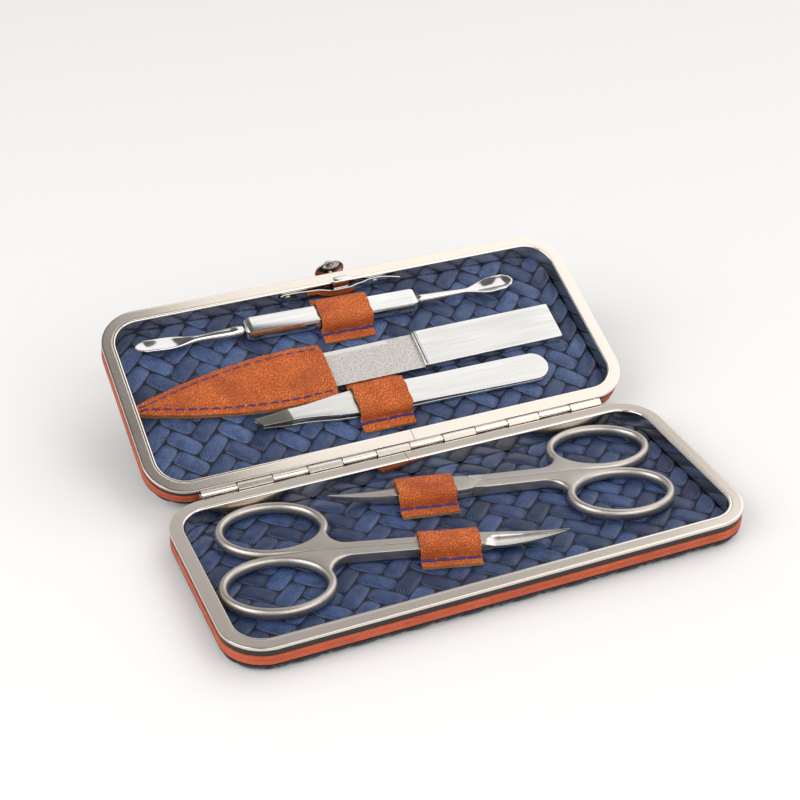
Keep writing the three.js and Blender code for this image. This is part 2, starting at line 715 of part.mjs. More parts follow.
function buildScissors(prefix, place, size, parent, ringsTowardsPlusX) {
    const toolGroup = toolGroupAt(place, parent, true);
    const thick = scissorsHeight / 2;
    const scissors = new THREE.Group();
    scissors.position.z = toolFloor + thick;
    scissors.rotation.z = ringsTowardsPlusX ? HALF_TURN : 0;
    toolGroup.add(scissors);
    const upper = curvedTips(scissorsHalf(size, 1), size);
    const lower = curvedTips(turnedOver(scissorsHalf(size, -1)), size);
    piece(`${prefix}_scissors_upper_half`, "steel", upper, scissors);
    piece(`${prefix}_scissors_lower_half`, "steel", lower, scissors);
    const shaft = rodSolid(2, -thick, thick + screwHeadHeight, [0, 0, 0], screwRadius);
    const head = rodSolid(2, thick + layerGap / 2, thick + screwHeadHeight, [0, 0, 0], screwHeadRadius);
    piece(`${prefix}_scissors_screw`, "steel", shaft.add(head), scissors);
    return toolGroup;
}

// Tweezers
function armSolid(isUpper) {
    const half = tweezersLength / 2;
    const jointShare = 1 - armJointLength / tweezersLength;
    const bevelShare = tipBevelLength / tweezersLength;
    const gaps = [[0, tipGap], [bevelShare, armSpread], [jointShare, armJointGap / 2]];
    const middle = armSpread + armSheet;
    const bar = stationBar(-half, half, armStations, (share) => {
        const inner = alongStops(gaps, share);
        const outer = inner + armSheet * blend(tipSheetShare, 1, Math.min(1, share / bevelShare));
        const [low, high] = isUpper ? [middle + inner, middle + outer] : [middle - outer, middle - inner];
        return { side: 0, half: alongStops(armWidths, share) / 2, low, high };
    });
    // The slanted tip and the rounded end are cut by one outline.
    const trim = new THREE.Shape();
    const endRadius = tweezersWidth / 2;
    trim.moveTo(-half, tweezersTipWidth / 2);
    trim.lineTo(-half + tipSlant, -tweezersTipWidth / 2);
    trim.lineTo(-half + tipSlantReach * tipSlant, -tweezersWidth);
    trim.lineTo(half - endRadius, -tweezersWidth);
    trim.absarc(half - endRadius, 0, endRadius, -QUARTER_TURN, QUARTER_TURN, false);
    trim.lineTo(half - endRadius, tweezersWidth);
    trim.lineTo(-half, tweezersWidth);
    trim.closePath();
    const cutter = solidOf(extruded(trim, -armSheet, 2 * middle + armSheet, { segments: armEndSegments }));
    return bar.intersect(cutter);
}

// Double-ended cuticle tool
// The six-sided section moved in by an inset; its slanted faces are close to 45 degrees.
function handleSection(inset) {
    const top = handleTopWidth / 2 - inset / 2;
    const side = handleWidth / 2 - inset;
    const high = handleHeight / 2 - inset;
    const shape = new THREE.Shape();
    shape.moveTo(side, 0);
    shape.lineTo(top, high);
    shape.lineTo(-top, high);
    shape.lineTo(-side, 0);
    shape.lineTo(-top, -high);
    shape.lineTo(top, -high);
    shape.closePath();
    return shape;
}

function alongX(geometry) {
    geometry.rotateX(QUARTER_TURN);
    geometry.rotateZ(QUARTER_TURN);
    return solidOf(geometry);
}

function handleSolid() {
    const half = handleLength / 2;
    const hollow = half - handleCap;
    const outer = extruded(handleSection(0), -half, half, {
        chamfer: handleEndChamfer, bevelSegments: handleEndSteps,
    });
    const inner = extruded(handleSection(handleWall), -hollow, hollow);
    const bore = rodSolid(0, -handleLength, handleLength, [0, 0, 0], handleBore);
    return alongX(outer).subtract(alongX(inner)).subtract(bore);
}

// A steel end piece: a round tang in the handle's bore, a neck, and a flattened blade or spoon.
function toolEnd(size) {
    const start = handleLength / 2 + layerGap;
    const bar = ovalBar(start, start + size.length, endStations, (share) => ({
        side: 0,
        middle: alongStops(size.rises, share),
        halfWidth: alongStops(size.widths, share) / 2,
        halfHeight: alongStops(size.heights, share) / 2,
    }));
    const tangRadius = handleBore - tangClearance;
    return bar.add(rodSolid(0, start - tangLength, start + tangOverlap, [0, 0, 0], tangRadius));
}

function buildCleaner(parent) {
    const toolGroup = toolGroupAt(cleanerPlace, parent, false);
    const tool = new THREE.Group();
    tool.position.z = toolFloor + handleHeight / 2;
    toolGroup.add(tool);
    piece("cuticle_tool_handle", "polished", handleSolid(), tool);
    const pusherMesh = piece("cuticle_tool_pusher", "chrome", toolEnd(pusher), tool);
    pusherMesh.rotation.z = HALF_TURN;
    piece("cuticle_tool_spoon", "chrome", toolEnd(spoon), tool);
    buildLoop("cuticle_tool_loop", toolGroup, cleanerLoop, handleHeight, true);
}

// Nail file and sheath
const sheathBackTop = liningTop + layerGap + sheathSheet;
const bladeLow = sheathBackTop + sheathBladeGap;

function buildFile(parent) {
    const toolGroup = toolGroupAt(filePlace, parent, false);
    const pointShare = bladePointLength / (fileHandleX - bladeTipX);
    const middle = bladeLow + bladeSheet / 2;
    const blade = stationBar(bladeTipX, fileHandleX - layerGap, fileStations, (share) => {
        const rise = Math.sin(QUARTER_TURN * Math.min(1, share / pointShare));
        const half = blend(bladePointHalf, bladeWidth / 2, rise);
        return { side: 0, half, low: bladeLow, high: bladeLow + bladeSheet };
    });
    const sleeveHalf = fileHandleHeight / 2;
    const sleeveSide = fileHandleWidth / 2;
    const pocketHalf = sleeveHalf - fileSleeveWall;
    const pocketSide = sleeveSide - fileSleeveWall;
    const tangSide = pocketSide - sleeveClearance;
    const tangHalf = bladeSheet / 2 + tangSwell;
    const tang = boxSolid(
        [fileHandleX - 2 * layerGap, -tangSide, middle - tangHalf],
        [fileHandleX + tangDepth, tangSide, middle + tangHalf],
    );
    piece("nail_file_blade", "grit", blade.add(tang), toolGroup);

    const right = fileHandleX + fileHandleLength;
    const sleeve = boxSolid(
        [fileHandleX, -sleeveSide, middle - sleeveHalf],
        [right, sleeveSide, middle + sleeveHalf],
    );
    const pocket = boxSolid(
        [fileHandleX - fileSleeveWall, -pocketSide, middle - pocketHalf],
        [right - fileSleeveWall, pocketSide, middle + pocketHalf],
    );
    piece("nail_file_handle", "polished", sleeve.subtract(pocket), toolGroup);
    buildSheath(toolGroup);
}

// Half the sheath's width: an ogive that reaches full width near the mouth.
function sheathHalf(share) {
    const rise = Math.sin(QUARTER_TURN * Math.min(1, share / sheathFull));
    return blend(sheathTipWidth / 2, sheathWidth / 2, Math.pow(rise, sheathFullness));
}

function buildSheath(toolGroup) {
    const backLow = liningTop + layerGap;
    const back = stationBar(sheathTipX, sheathMouthX, sheathStations, (share) => ({
        side: 0, half: sheathHalf(share), low: backLow, high: sheathBackTop,
    }));
    piece("sheath_back_layer", "orange", back, toolGroup);
    const seamLow = sheathBackTop + layerGap;
    const pocketLow = bladeLow + bladeSheet + sheathBladeGap;
    const front = stationBar(sheathTipX, sheathMouthX, sheathStations, (share, across) => {
        const inside = sheathHalf(share) * (1 - Math.abs(across)) - sheathSeam + sheathSlope;
        const lift = smoothShare(Math.min(1, Math.max(0, inside / sheathSlope)));
        const low = blend(seamLow, pocketLow, lift);
        return { side: 0, half: sheathHalf(share), low, high: low + sheathSheet };
    }, sheathAcross);
    piece("sheath_front_layer", "orange", front, toolGroup);
}

// Assembly
const group = new THREE.Group();
group.name = "manicure_set_case";

// Each tray is drawn in its own frame: hinge axis along X at y = 0, rim plane at z = 0.
const lowerTray = new THREE.Group();
lowerTray.position.set(0, trayCentreY, trayHeight);
lowerTray.rotation.z = HALF_TURN;
group.add(lowerTray);

const lid = new THREE.Group();
lid.position.set(0, trayCentreY, trayHeight + rimBelowAxis);
lid.rotation.x = openTilt;
group.add(lid);
const upperTray = new THREE.Group();
upperTray.position.z = -rimBelowAxis;
lid.add(upperTray);

buildTray("lower", lowerTray, false);
buildTray("upper", upperTray, true);
const pinHalf = hingeLength / 2 - layerGap;
const pin = rodSolid(0, -pinHalf, pinHalf, [0, 0, rimBelowAxis], pinRadius);
piece("hinge_pin", "steel", pin, lowerTray);
buildClasp(upperTray);

const nailGroup = buildScissors("nail", nailPlace, nail, lowerTray, true);
buildLoop("nail_scissors_loop", nailGroup, nailLoop, scissorsHeight + screwHeadHeight, false);
const cuticleGroup = buildScissors("cuticle", cuticlePlace, cuticle, lowerTray, false);
buildLoop("cuticle_scissors_loop", cuticleGroup, cuticleLoop, scissorsHeight + screwHeadHeight, false);

const tweezersGroup = toolGroupAt(tweezersPlace, upperTray, false);
const tweezers = new THREE.Group();
tweezers.position.z = toolFloor;
tweezersGroup.add(tweezers);
piece("tweezers_upper_arm", "polished", armSolid(true), tweezers);
piece("tweezers_lower_arm", "polished", armSolid(false), tweezers);
buildLoop("tweezers_loop", tweezersGroup, tweezersLoop, 2 * (armSpread + armSheet), true);

buildCleaner(upperTray);
buildFile(upperTray);

export default group;
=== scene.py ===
# %% [markdown]
# # Manicure set case: the looks
# The case stands open, as in the photograph: the lower tray lies flat and the upper tray
# leans back against the hinge's stops. The fixed frame of the part is imported first. Every
# visible piece is then built again as a fine mesh in millimetres, in the frame of the tray
# that carries it, and laid over the node that it stands for.

# %% Frame, helpers and tray placement
import math
import random

import bmesh
import bpy
from mathutils import Matrix, Vector


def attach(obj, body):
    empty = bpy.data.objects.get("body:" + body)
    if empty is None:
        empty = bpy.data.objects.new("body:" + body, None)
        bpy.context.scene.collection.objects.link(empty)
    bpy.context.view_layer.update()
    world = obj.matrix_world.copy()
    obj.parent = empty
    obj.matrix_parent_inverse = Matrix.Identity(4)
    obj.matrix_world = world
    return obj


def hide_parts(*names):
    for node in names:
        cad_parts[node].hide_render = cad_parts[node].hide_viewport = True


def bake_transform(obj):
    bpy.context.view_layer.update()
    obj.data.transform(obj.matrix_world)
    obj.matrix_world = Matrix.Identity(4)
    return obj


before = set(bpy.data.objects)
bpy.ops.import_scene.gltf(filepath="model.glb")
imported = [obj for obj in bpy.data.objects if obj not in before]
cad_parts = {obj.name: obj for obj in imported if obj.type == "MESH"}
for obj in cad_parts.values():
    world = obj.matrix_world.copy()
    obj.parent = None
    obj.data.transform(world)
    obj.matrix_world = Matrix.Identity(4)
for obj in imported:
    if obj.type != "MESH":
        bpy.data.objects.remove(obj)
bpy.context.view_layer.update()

# %% [markdown]
# ## Where the trays and the tools lie
# Each tray has its own frame: the hinge axis runs along X at y = 0, the tray reaches towards
# +Y, and the rim plane is z = 0. The lower tray is the same frame turned half round. All
# lengths below are millimetres; the matrices turn them into the part's frame in metres.

# %% Trays
MM = 0.001
CASE_LENGTH = 142
TRAY_WIDTH = 61.4
CORNER_RADIUS = 11.5
HINGE_OFFSET = 1.7      # hinge axis to each tray's outer edge
FRAME_FACE = 3.8
FRAME_SHEET = 0.7
RECESS_DEPTH = 4.9
TRAY_HEIGHT = 8.0
RIM_BELOW_AXIS = 0.1
OPEN_TILT = math.radians(23.6)
TRAY_MIDDLE = HINGE_OFFSET + TRAY_WIDTH / 2
SHEET_GAP = 0.1         # between sheets that lie on each other
TOOL_SEAT_GAP = 0.15
TOOL_FLOOR = TOOL_SEAT_GAP - RECESS_DEPTH
LEATHER = 0.9           # thickness of loops and sheath
SAME_POINT = 1e-7       # metres; points closer than this are joined


def turn_z(angle):
    """A turn about Z, in radians."""
    return Matrix.Rotation(angle, 4, "Z")


def shift(x=0, y=0, z=0):
    """A move in millimetres."""
    return Matrix.Translation((x, y, z))


metres = Matrix.Scale(MM, 4)
lower_tray = metres @ shift(0, TRAY_MIDDLE, TRAY_HEIGHT) @ turn_z(math.pi)
hinge_height = TRAY_HEIGHT + RIM_BELOW_AXIS
upper_tray = (metres @ shift(0, TRAY_MIDDLE, hinge_height) @ Matrix.Rotation(OPEN_TILT, 4, "X")
              @ shift(0, 0, -RIM_BELOW_AXIS))
trays = {"lower": lower_tray, "upper": upper_tray}

# %% Tools: x along the hinge, y from the hinge axis, angle seen from above
nail_frame = lower_tray @ shift(1, 16.8) @ turn_z(math.radians(-12))
cuticle_frame = lower_tray @ shift(4, 40.5) @ turn_z(math.radians(-15.3))
tweezers_frame = upper_tray @ shift(7.3, 18.7) @ turn_z(math.radians(-1))
cleaner_frame = upper_tray @ shift(-4.1, 50.2) @ turn_z(math.radians(-1.5))
file_frame = upper_tray @ shift(-0.4, 32.2)
far_rim = upper_tray @ Vector((0, HINGE_OFFSET + TRAY_WIDTH, 0))
print("upper tray's far rim is", round(far_rim.z, 4), "m up")

# %% [markdown]
# ## Materials
# Every surface is procedural. Metals differ by how their surface was finished: the frame is
# satin nickel, the scissors are blasted, the tweezers and the file's handle are brushed, the
# clasp and the cuticle tool are polished. The leathers share a grain of small cells over
# soft wrinkles, and their cut edges show the pale, rough inside of the hide.

# %% Node helpers


class Nodes:
    """A short way to add and join nodes in one tree."""

    def __init__(self, tree):
        self.tree = tree

    def add(self, kind, **settings):
        node = self.tree.nodes.new("ShaderNode" + kind)
        for key, value in settings.items():
            setattr(node, key, value)
        return node

    def put(self, socket, value):
        """Fills a socket with another node's output, a colour or a plain value."""
        if hasattr(value, "links"):
            self.tree.links.new(value, socket)
        elif socket.type == "RGBA":
            socket.default_value = (*value, 1)
        else:
            socket.default_value = value

    def set(self, node, **sockets):
        for key, value in sockets.items():
            self.put(node.inputs[key.replace("_", " ")], value)
        return node

    def math(self, operation, first, second=0.0):
        node = self.add("Math", operation=operation)
        self.put(node.inputs[0], first)
        self.put(node.inputs[1], second)
        return node.outputs[0]

    def span(self, value, low, high, to_low=0.0, to_high=1.0):
        """Turns low to high into to_low to to_high."""
        ends = {"From_Min": low, "From_Max": high, "To_Min": to_low, "To_Max": to_high}
        return self.set(self.add("MapRange"), Value=value, **ends).outputs["Result"]

    def mixed(self, share, first, second):
        """Mixes two colours."""
        node = self.add("Mix", data_type="RGBA")
        for index, value in ((0, share), (6, first), (7, second)):
            self.put(node.inputs[index], value)
        return node.outputs[2]


# %% Surface helpers


class Surface(Nodes):
    """The nodes of one material. Scales are per metre, bump heights in millimetres."""

    def __init__(self, name, **sockets):
        self.material = bpy.data.materials.new(name)
        self.material.use_nodes = True
        super().__init__(self.material.node_tree)
        self.shader = self.tree.nodes["Principled BSDF"]
        self.set(self.shader, **sockets)
        self.place = self.add("TexCoord").outputs["Object"]

    def noise(self, scale, detail=3.0, stretch=(1, 1, 1), where=None):
        place = self.stretched(stretch, where)
        return self.set(self.add("TexNoise"), Vector=place, Scale=scale, Detail=detail).outputs["Fac"]

    def stretched(self, stretch, where=None):
        mapping = self.add("Mapping")
        return self.set(mapping, Vector=where or self.place, Scale=stretch).outputs["Vector"]

    def cells(self, scale, stretch=(1, 1, 1), where=None):
        """Distance to the nearest border between cells."""
        cells = self.add("TexVoronoi", feature="DISTANCE_TO_EDGE")
        return self.set(cells, Vector=self.stretched(stretch, where), Scale=scale).outputs[0]

    def warped_place(self, amount, scale):
        """The surface's own place, pushed about by noise, so that a pattern on it looks grown."""
        drift = self.noise(scale, 3)
        push = self.set(self.add("CombineXYZ"), X=drift, Y=drift, Z=drift)
        pushed = self.add("VectorMath", operation="MULTIPLY_ADD")
        for socket, value in zip(pushed.inputs, (push.outputs[0], (amount, amount, amount), self.place)):
            self.put(socket, value)
        return pushed.outputs[0]

    def bump(self, height, strength, distance_mm, below=None):
        node = self.set(self.add("Bump"), Height=height, Strength=strength, Distance=distance_mm * MM)
        if below:
            self.set(node, Normal=below)
        return node.outputs[0]

    def done(self, **sockets):
        self.set(self.shader, **sockets)
        return self.material


def plain_material(name, colour, roughness, metallic=0.0):
    """A material with one even colour."""
    return Surface(name, Base_Color=colour, Roughness=roughness, Metallic=metallic).material


# %% [markdown]
# ### Metals
# A brush is noise that is drawn out along the strokes; it changes both the roughness and the
# bump a little. Streaks add the slightly darker bands that a hand-brushed flat shows.

# %% Metals
STREAK_SCALE, STREAK_STRETCH, STREAK_DARKNESS = 520, (0.07, 1, 1), 0.72
CLOUD_SCALE, CLOUD_ROUGHNESS = 45, 0.02


def metal(name, colour, roughness, brush=(1, 1, 1), brush_scale=900, brush_depth=0.004, uneven=0.06,
          streaks=0.0):
    """A metal whose fine marks are drawn out along the axes where brush is small."""
    n = Surface(name, Base_Color=colour, Metallic=1.0)
    if streaks:
        bands = n.span(n.noise(STREAK_SCALE, 5, STREAK_STRETCH), 0.36, 0.64, 0.0, streaks)
        darker = tuple(STREAK_DARKNESS * channel for channel in colour)
        n.set(n.shader, Base_Color=n.mixed(bands, colour, darker))
    marks = n.noise(brush_scale, 4, brush)
    from_marks = n.span(marks, 0.3, 0.7, roughness - uneven, roughness + uneven)
    from_cloud = n.span(n.noise(CLOUD_SCALE, 2), 0.3, 0.7, -CLOUD_ROUGHNESS, CLOUD_ROUGHNESS)
    rough = n.math("ADD", from_marks, from_cloud)
    return n.done(Roughness=rough, Normal=n.bump(marks, 0.5, brush_depth))


LENGTHWISE = (0.04, 1, 1)
rim_metal = metal("rim_metal", (0.72, 0.645, 0.575), 0.18, brush_depth=0.0001, uneven=0.004)
rim_polished = metal("rim_polished", (0.76, 0.70, 0.63), 0.12, brush_depth=0.0004, uneven=0.02)
hinge_metal = metal("hinge_metal", (0.80, 0.745, 0.68), 0.24, brush_depth=0.0004, uneven=0.02)
chrome = metal("bright_steel", (0.64, 0.63, 0.61), 0.10, brush_depth=0.0005, uneven=0.02)
pin_steel = metal("pin_steel", (0.6, 0.58, 0.55), 0.3)
blasted_steel = metal("scissors_steel", (0.51, 0.468, 0.425), 0.36, brush_scale=2600, brush_depth=0.003)
ground_steel = metal("ground_edge", (0.60, 0.575, 0.54), 0.27, brush_depth=0.0006, uneven=0.02)
brushed_steel = metal("tweezers_steel", (0.68, 0.665, 0.64), 0.27, brush=LENGTHWISE, brush_scale=1800,
                      brush_depth=0.0008, streaks=0.30)
tip_steel = metal("tweezers_tip", (0.30, 0.29, 0.26), 0.34, brush_scale=2500)
handle_metal = metal("handle_metal", (0.67, 0.655, 0.63), 0.22, brush=LENGTHWISE, brush_scale=1800,
                     brush_depth=0.0008, streaks=0.55)
tool_handle_metal = metal("tool_handle_metal", (0.70, 0.69, 0.67), 0.14, brush=(0.03, 1, 1), brush_scale=1500,
                          brush_depth=0.0006, streaks=0.45)

# %% The file's grit
GRIT_DARK, GRIT_PALE = (0.36, 0.335, 0.305), (0.72, 0.69, 0.65)
GRIT_CLUMP, GRIT_SPARKLE = (0.56, 0.525, 0.48), (0.95, 0.94, 0.90)


def grit_material():
    """The file's face: grains fixed to steel, dull with small bright points."""
    n = Surface("file_grit", Metallic=0.55)
    grains = n.noise(3600, 2)
    clumps = n.noise(1500, 2)
    sparkle = n.span(n.noise(6500, 2), 0.58, 0.70)
    base = n.mixed(n.span(grains, 0.38, 0.62), GRIT_DARK, GRIT_PALE)
    base = n.mixed(n.span(clumps, 0.3, 0.7, 0.0, 0.3), base, GRIT_CLUMP)
    base = n.mixed(sparkle, base, GRIT_SPARKLE)
    return n.done(Base_Color=base, Roughness=0.5, Normal=n.bump(grains, 0.9, 0.05))


file_grit = grit_material()

# %% [markdown]
# ### Leather
# Grained leather is covered by small raised cells, and the furrows between them are darkened
# as painted shade. The cells are drawn out across the strap and warped, so that they look
# grown, and larger wrinkles and paler, worn patches lie over them.

# %% Leathers
WARP, WARP_SCALE = 0.0006, 700      # metres, and per metre
GRAIN_STRETCH, WRINKLE_STRETCH, SPECKLE_STRETCH = (1, 0.5, 1), (1, 0.45, 1), (1, 0.55, 1)
# The furrow darkness is painted shade in the grain's furrows; the other three are the leather's own wrinkles,
# speckle and worn patches.
FURROW_PAINTED_SHADE, WRINKLE_DARKNESS, SPECKLE_DARKNESS, PATCH_DARKNESS = 0.80, 0.4, 0.16, 0.5


def leather(name, colour, dark, roughness, grain_scale, grain_depth):
    """Grained leather: small cells with painted shade in their furrows, wrinkles, and a colour that is worn
    unevenly.
    """
    n = Surface(name)
    place = n.warped_place(WARP, WARP_SCALE)
    grain = n.span(n.cells(grain_scale, GRAIN_STRETCH, place), 0.0, 0.16)
    fine = n.noise(grain_scale * 2.4, 3)
    wrinkles = n.noise(330, 5, WRINKLE_STRETCH)
    speckle = n.noise(grain_scale * 0.9, 2, SPECKLE_STRETCH)
    wear_and_highlight = n.mixed(n.span(n.noise(120, 3), 0.40, 0.70, 0.0, PATCH_DARKNESS), colour, dark)
    wear_and_highlight = n.mixed(n.span(speckle, 0.40, 0.64, 0.0, SPECKLE_DARKNESS), wear_and_highlight, dark)
    # painted shade: the low furrows between the grain's cells are darkened
    furrow_shade = n.math("MULTIPLY", n.span(grain, 0.0, 0.9, 1.0, 0.0), FURROW_PAINTED_SHADE)
    fold = n.span(wrinkles, 0.5, 0.72, 0.0, WRINKLE_DARKNESS)
    surface = n.mixed(n.math("MAXIMUM", furrow_shade, fold), wear_and_highlight, dark)
    relief = n.math("ADD", n.math("MULTIPLY", fine, 0.12), wrinkles)
    height = n.math("ADD", n.math("MULTIPLY", grain, 0.95), relief)
    rough = n.span(wrinkles, 0.3, 0.7, roughness - 0.08, roughness + 0.1)
    n.set(n.shader, Specular_IOR_Level=0.30)
    return n.done(Base_Color=surface, Roughness=rough, Normal=n.bump(height, 0.9, grain_depth))


orange_leather = leather("orange_leather", (0.84, 0.195, 0.040), (0.28, 0.042, 0.010), 0.42, 1750, 0.26)
band_leather = leather("band_leather", (0.66, 0.135, 0.055), (0.40, 0.072, 0.032), 0.5, 2300, 0.10)
raw_edge = leather("raw_edge", (0.62, 0.33, 0.15), (0.26, 0.10, 0.04), 0.85, 2400, 0.30)

# %% Thread
THREAD_BLUE = (0.028, 0.022, 0.15)
STRANDS_PER_METRE = 900.0


def thread_material():
    """Waxed thread, twisted from fine strands."""
    n = Surface("thread", Base_Color=THREAD_BLUE, Roughness=0.5)
    bands = n.add("TexWave", wave_type="BANDS", bands_direction="DIAGONAL")
    wave = n.set(bands, Vector=n.place, Scale=STRANDS_PER_METRE)
    return n.done(Normal=n.bump(wave.outputs["Fac"], 0.6, 0.05))


thread = thread_material()

# %% [markdown]
# ### Plaited strips
# Where a soft strip dives under the next one, it is gathered into fine pleats. The mesh
# gives each block its own UV square, from -1 to 1 along and across the strip, so the
# material knows where the ends and the edges are. A tone per block makes some a bit darker.
# The pleats' ridges are painted paler as painted highlight and their furrows darker as
# painted shade; the seams and the tucked ends are darkened as painted shade.

# %% Strip material
PLEAT_WAVES = 21.0                  # radians from the middle of a strip to its edge
PLEATS_FROM, TUCK_FROM, TUCK_TO = 0.62, 0.93, 1.04
# painted shade: each block is darkened along its long edges and at the ends that dive under the next block
EDGE_FROM, SEAM_SHADE = 0.86, 0.94
# painted highlight on the pleats' ridges, and painted shade in their furrows
PLEAT_HIGHLIGHT, PLEAT_SHADE = 0.35, 0.85


def weave_material(name, colour, dark, wear_and_highlight):
    """Soft leather strips. The fine pleats lie at the ends, where a strip dives under the next. Their ridges
    get a painted highlight and their furrows painted shade, and the seams and tucked ends painted shade.
    """
    n = Surface(name)
    split = n.set(n.add("SeparateXYZ"), Vector=n.add("UVMap", uv_map="strip").outputs[0])
    along, across = n.math("ABSOLUTE", split.outputs["X"]), split.outputs["Y"]
    end = n.span(along, PLEATS_FROM, 1.0)
    pleat = n.math("SINE", n.math("MULTIPLY", across, PLEAT_WAVES))
    pleats = n.math("MULTIPLY", pleat, n.math("MULTIPLY", end, end))
    # masks of the pleats' ridges, which get a painted highlight, and of their furrows, which get painted
    # shade
    ridge = n.math("MULTIPLY", end, n.span(pleat, 0.2, 1.0))
    furrow_shade = n.math("MULTIPLY", end, n.span(pleat, -1.0, -0.2, 1.0, 0.0))
    grain = n.noise(1500, 4)
    wrinkles = n.noise(330, 4)
    tone = n.add("Attribute", attribute_name="tone").outputs["Fac"]
    base = n.mixed(n.math("MULTIPLY", tone, 0.75), colour, dark)
    base = n.mixed(n.span(wrinkles, 0.42, 0.72, 0.0, 0.45), base, dark)
    base = n.mixed(n.span(n.noise(2100, 3), 0.42, 0.66, 0.0, 0.5), base, dark)
    # painted highlight: the ridges are mixed towards the paler last colour; painted shade: the furrows are
    # mixed towards dark
    base = n.mixed(n.math("MULTIPLY", ridge, PLEAT_HIGHLIGHT), base, wear_and_highlight)
    base = n.mixed(n.math("MULTIPLY", furrow_shade, PLEAT_SHADE), base, dark)
    # painted shade along the seams at the long edges and at the tucked ends
    edge = n.span(n.math("ABSOLUTE", across), EDGE_FROM, 1.0)
    tucked_shade = n.span(along, TUCK_FROM, TUCK_TO, 0.0, 0.8)
    base = n.mixed(n.math("MULTIPLY", n.math("MAXIMUM", edge, tucked_shade), SEAM_SHADE), base, dark)
    height = n.math("ADD", n.math("MULTIPLY", wrinkles, 0.9), n.math("MULTIPLY", grain, 0.35))
    soft = n.bump(height, 0.8, 0.12)
    rough = n.span(grain, 0.3, 0.7, 0.27, 0.42)
    n.set(n.shader, Specular_IOR_Level=0.42)
    return n.done(Base_Color=base, Roughness=rough, Normal=n.bump(pleats, 0.9, 0.18, soft))


# The last colour of each weave is the painted highlight on its pleats' ridges.
blue_weave = weave_material("blue_weave", (0.052, 0.096, 0.240), (0.005, 0.009, 0.030), (0.12, 0.16, 0.27))
# the upper tray's lining is the same leather as the lower one, painted paler as painted light for the light
# and sheen that the raised tray catches
lit_weave = weave_material("lit_weave", (0.085, 0.138, 0.300), (0.006, 0.010, 0.032), (0.17, 0.21, 0.33))
dark_weave = weave_material("dark_weave", (0.018, 0.023, 0.042), (0.006, 0.008, 0.014), (0.04, 0.045, 0.06))
# near black: the plain base under the plaits shows only through the seams, and its colour is painted shade
# there
seam_shade_back = plain_material("seam_shade_back", (0.004, 0.006, 0.016), 0.8)
black_shell = plain_material("shell", (0.012, 0.0115, 0.011), 0.42)
board = leather("board", (0.30, 0.23, 0.16), (0.22, 0.16, 0.11), 0.9, 900, 0.05)
print("materials:", len(bpy.data.materials))

# %% [markdown]
# ## Making meshes
# Most pieces are sheet metal, leather or forged bars, so a few helpers cover them: a section
# carried round the tray's outline, a plate with rounded edges from any outline, and a grid
# whose points come from a function of two numbers.

# %% Pieces


def add_piece(name, body, node, slot, vertices, faces, frame_matrix, materials, face_slots=None,
              smooth_angle=40):
    """Makes a mesh from millimetre points in a tray's or a tool's frame, and ties it to its body and node.
    face_slots holds a material number for each face."""
    mesh = bpy.data.meshes.new(name)
    mesh.from_pydata([tuple(frame_matrix @ Vector(v)) for v in vertices], [], faces)
    mesh.update()
    piece = bpy.data.objects.new(name, mesh)
    bpy.context.collection.objects.link(piece)
    for material in materials:
        mesh.materials.append(material)
    if face_slots:
        mesh.polygons.foreach_set("material_index", face_slots)
    finish_mesh(mesh, smooth_angle)
    tie(piece, body, node)
    return piece


def finish_mesh(mesh, smooth_angle):
    """Joins doubled points, turns the faces outwards and smooths the mesh, except at sharp bends."""
    work = bmesh.new()
    work.from_mesh(mesh)
    bmesh.ops.remove_doubles(work, verts=work.verts, dist=SAME_POINT)
    bmesh.ops.recalc_face_normals(work, faces=work.faces)
    limit = math.radians(smooth_angle)
    for edge in work.edges:
        edge.smooth = not (edge.is_manifold and edge.calc_face_angle(0) > limit)
    for face in work.faces:
        face.smooth = True
    work.to_mesh(mesh)
    work.free()
    mesh.update()


def tie(piece, body, node):
    """A piece without a body is left free, with no parent."""
    if body:
        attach(piece, body)
    if node:
        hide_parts(node)


# %% Faces of grids and sheets


def grid_faces(rows, columns, wrap_rows=False, wrap_columns=False, start=0):
    """Faces of a rows x columns grid of points; a wrapped direction closes on itself."""
    faces = []
    for row in range(rows if wrap_rows else rows - 1):
        for column in range(columns if wrap_columns else columns - 1):
            below, right = (row + 1) % rows, (column + 1) % columns
            faces.append((start + row * columns + column, start + row * columns + right,
                          start + below * columns + right, start + below * columns + column))
    return faces


def sheet_faces(rows, across, is_raw):
    """Faces of a sheet whose rows of points run across its outer side and back across its inner side.
    The material number is 1 on the raw edges and wherever is_raw(row, column) says so."""
    ring = 2 * across
    faces, slots = [], []
    for row in range(rows):
        here, after = row * ring, (row + 1) * ring
        for column in range(ring):
            right = (column + 1) % ring
            faces.append((here + column, here + right, after + right, after + column))
            slots.append(1 if column in (across - 1, ring - 1) or is_raw(row, column) else 0)
    for row in (0, rows):
        first, last = row * ring, row * ring + ring - 1
        for column in range(across - 1):
            faces.append((first + column, first + column + 1, last - 1 - column, last - column))
            slots.append(1)
    return faces, slots


# %% Curves


def ease(t):
    """Eased step from 0 to 1."""
    t = min(1.0, max(0.0, t))
    return t * t * (3 - 2 * t)


def along_stops(stops, share):
    """Value at a share of the way through (share, value) stops, with eased steps."""
    previous_share, previous = stops[0]
    for stop, value in stops:
        if share <= stop:
            gap = stop - previous_share
            return previous + (value - previous) * (ease((share - previous_share) / gap) if gap else 1)
        previous_share, previous = stop, value
    return previous


def arc(centre, radius, start, end, steps):
    """Points of a circle's arc, angles in degrees."""
    points = []
    for step in range(steps + 1):
        angle = math.radians(start + (end - start) * step / steps)
        points.append((centre[0] + radius * math.cos(angle), centre[1] + radius * math.sin(angle)))
    return points


# %% Sections carried round the tray's outline


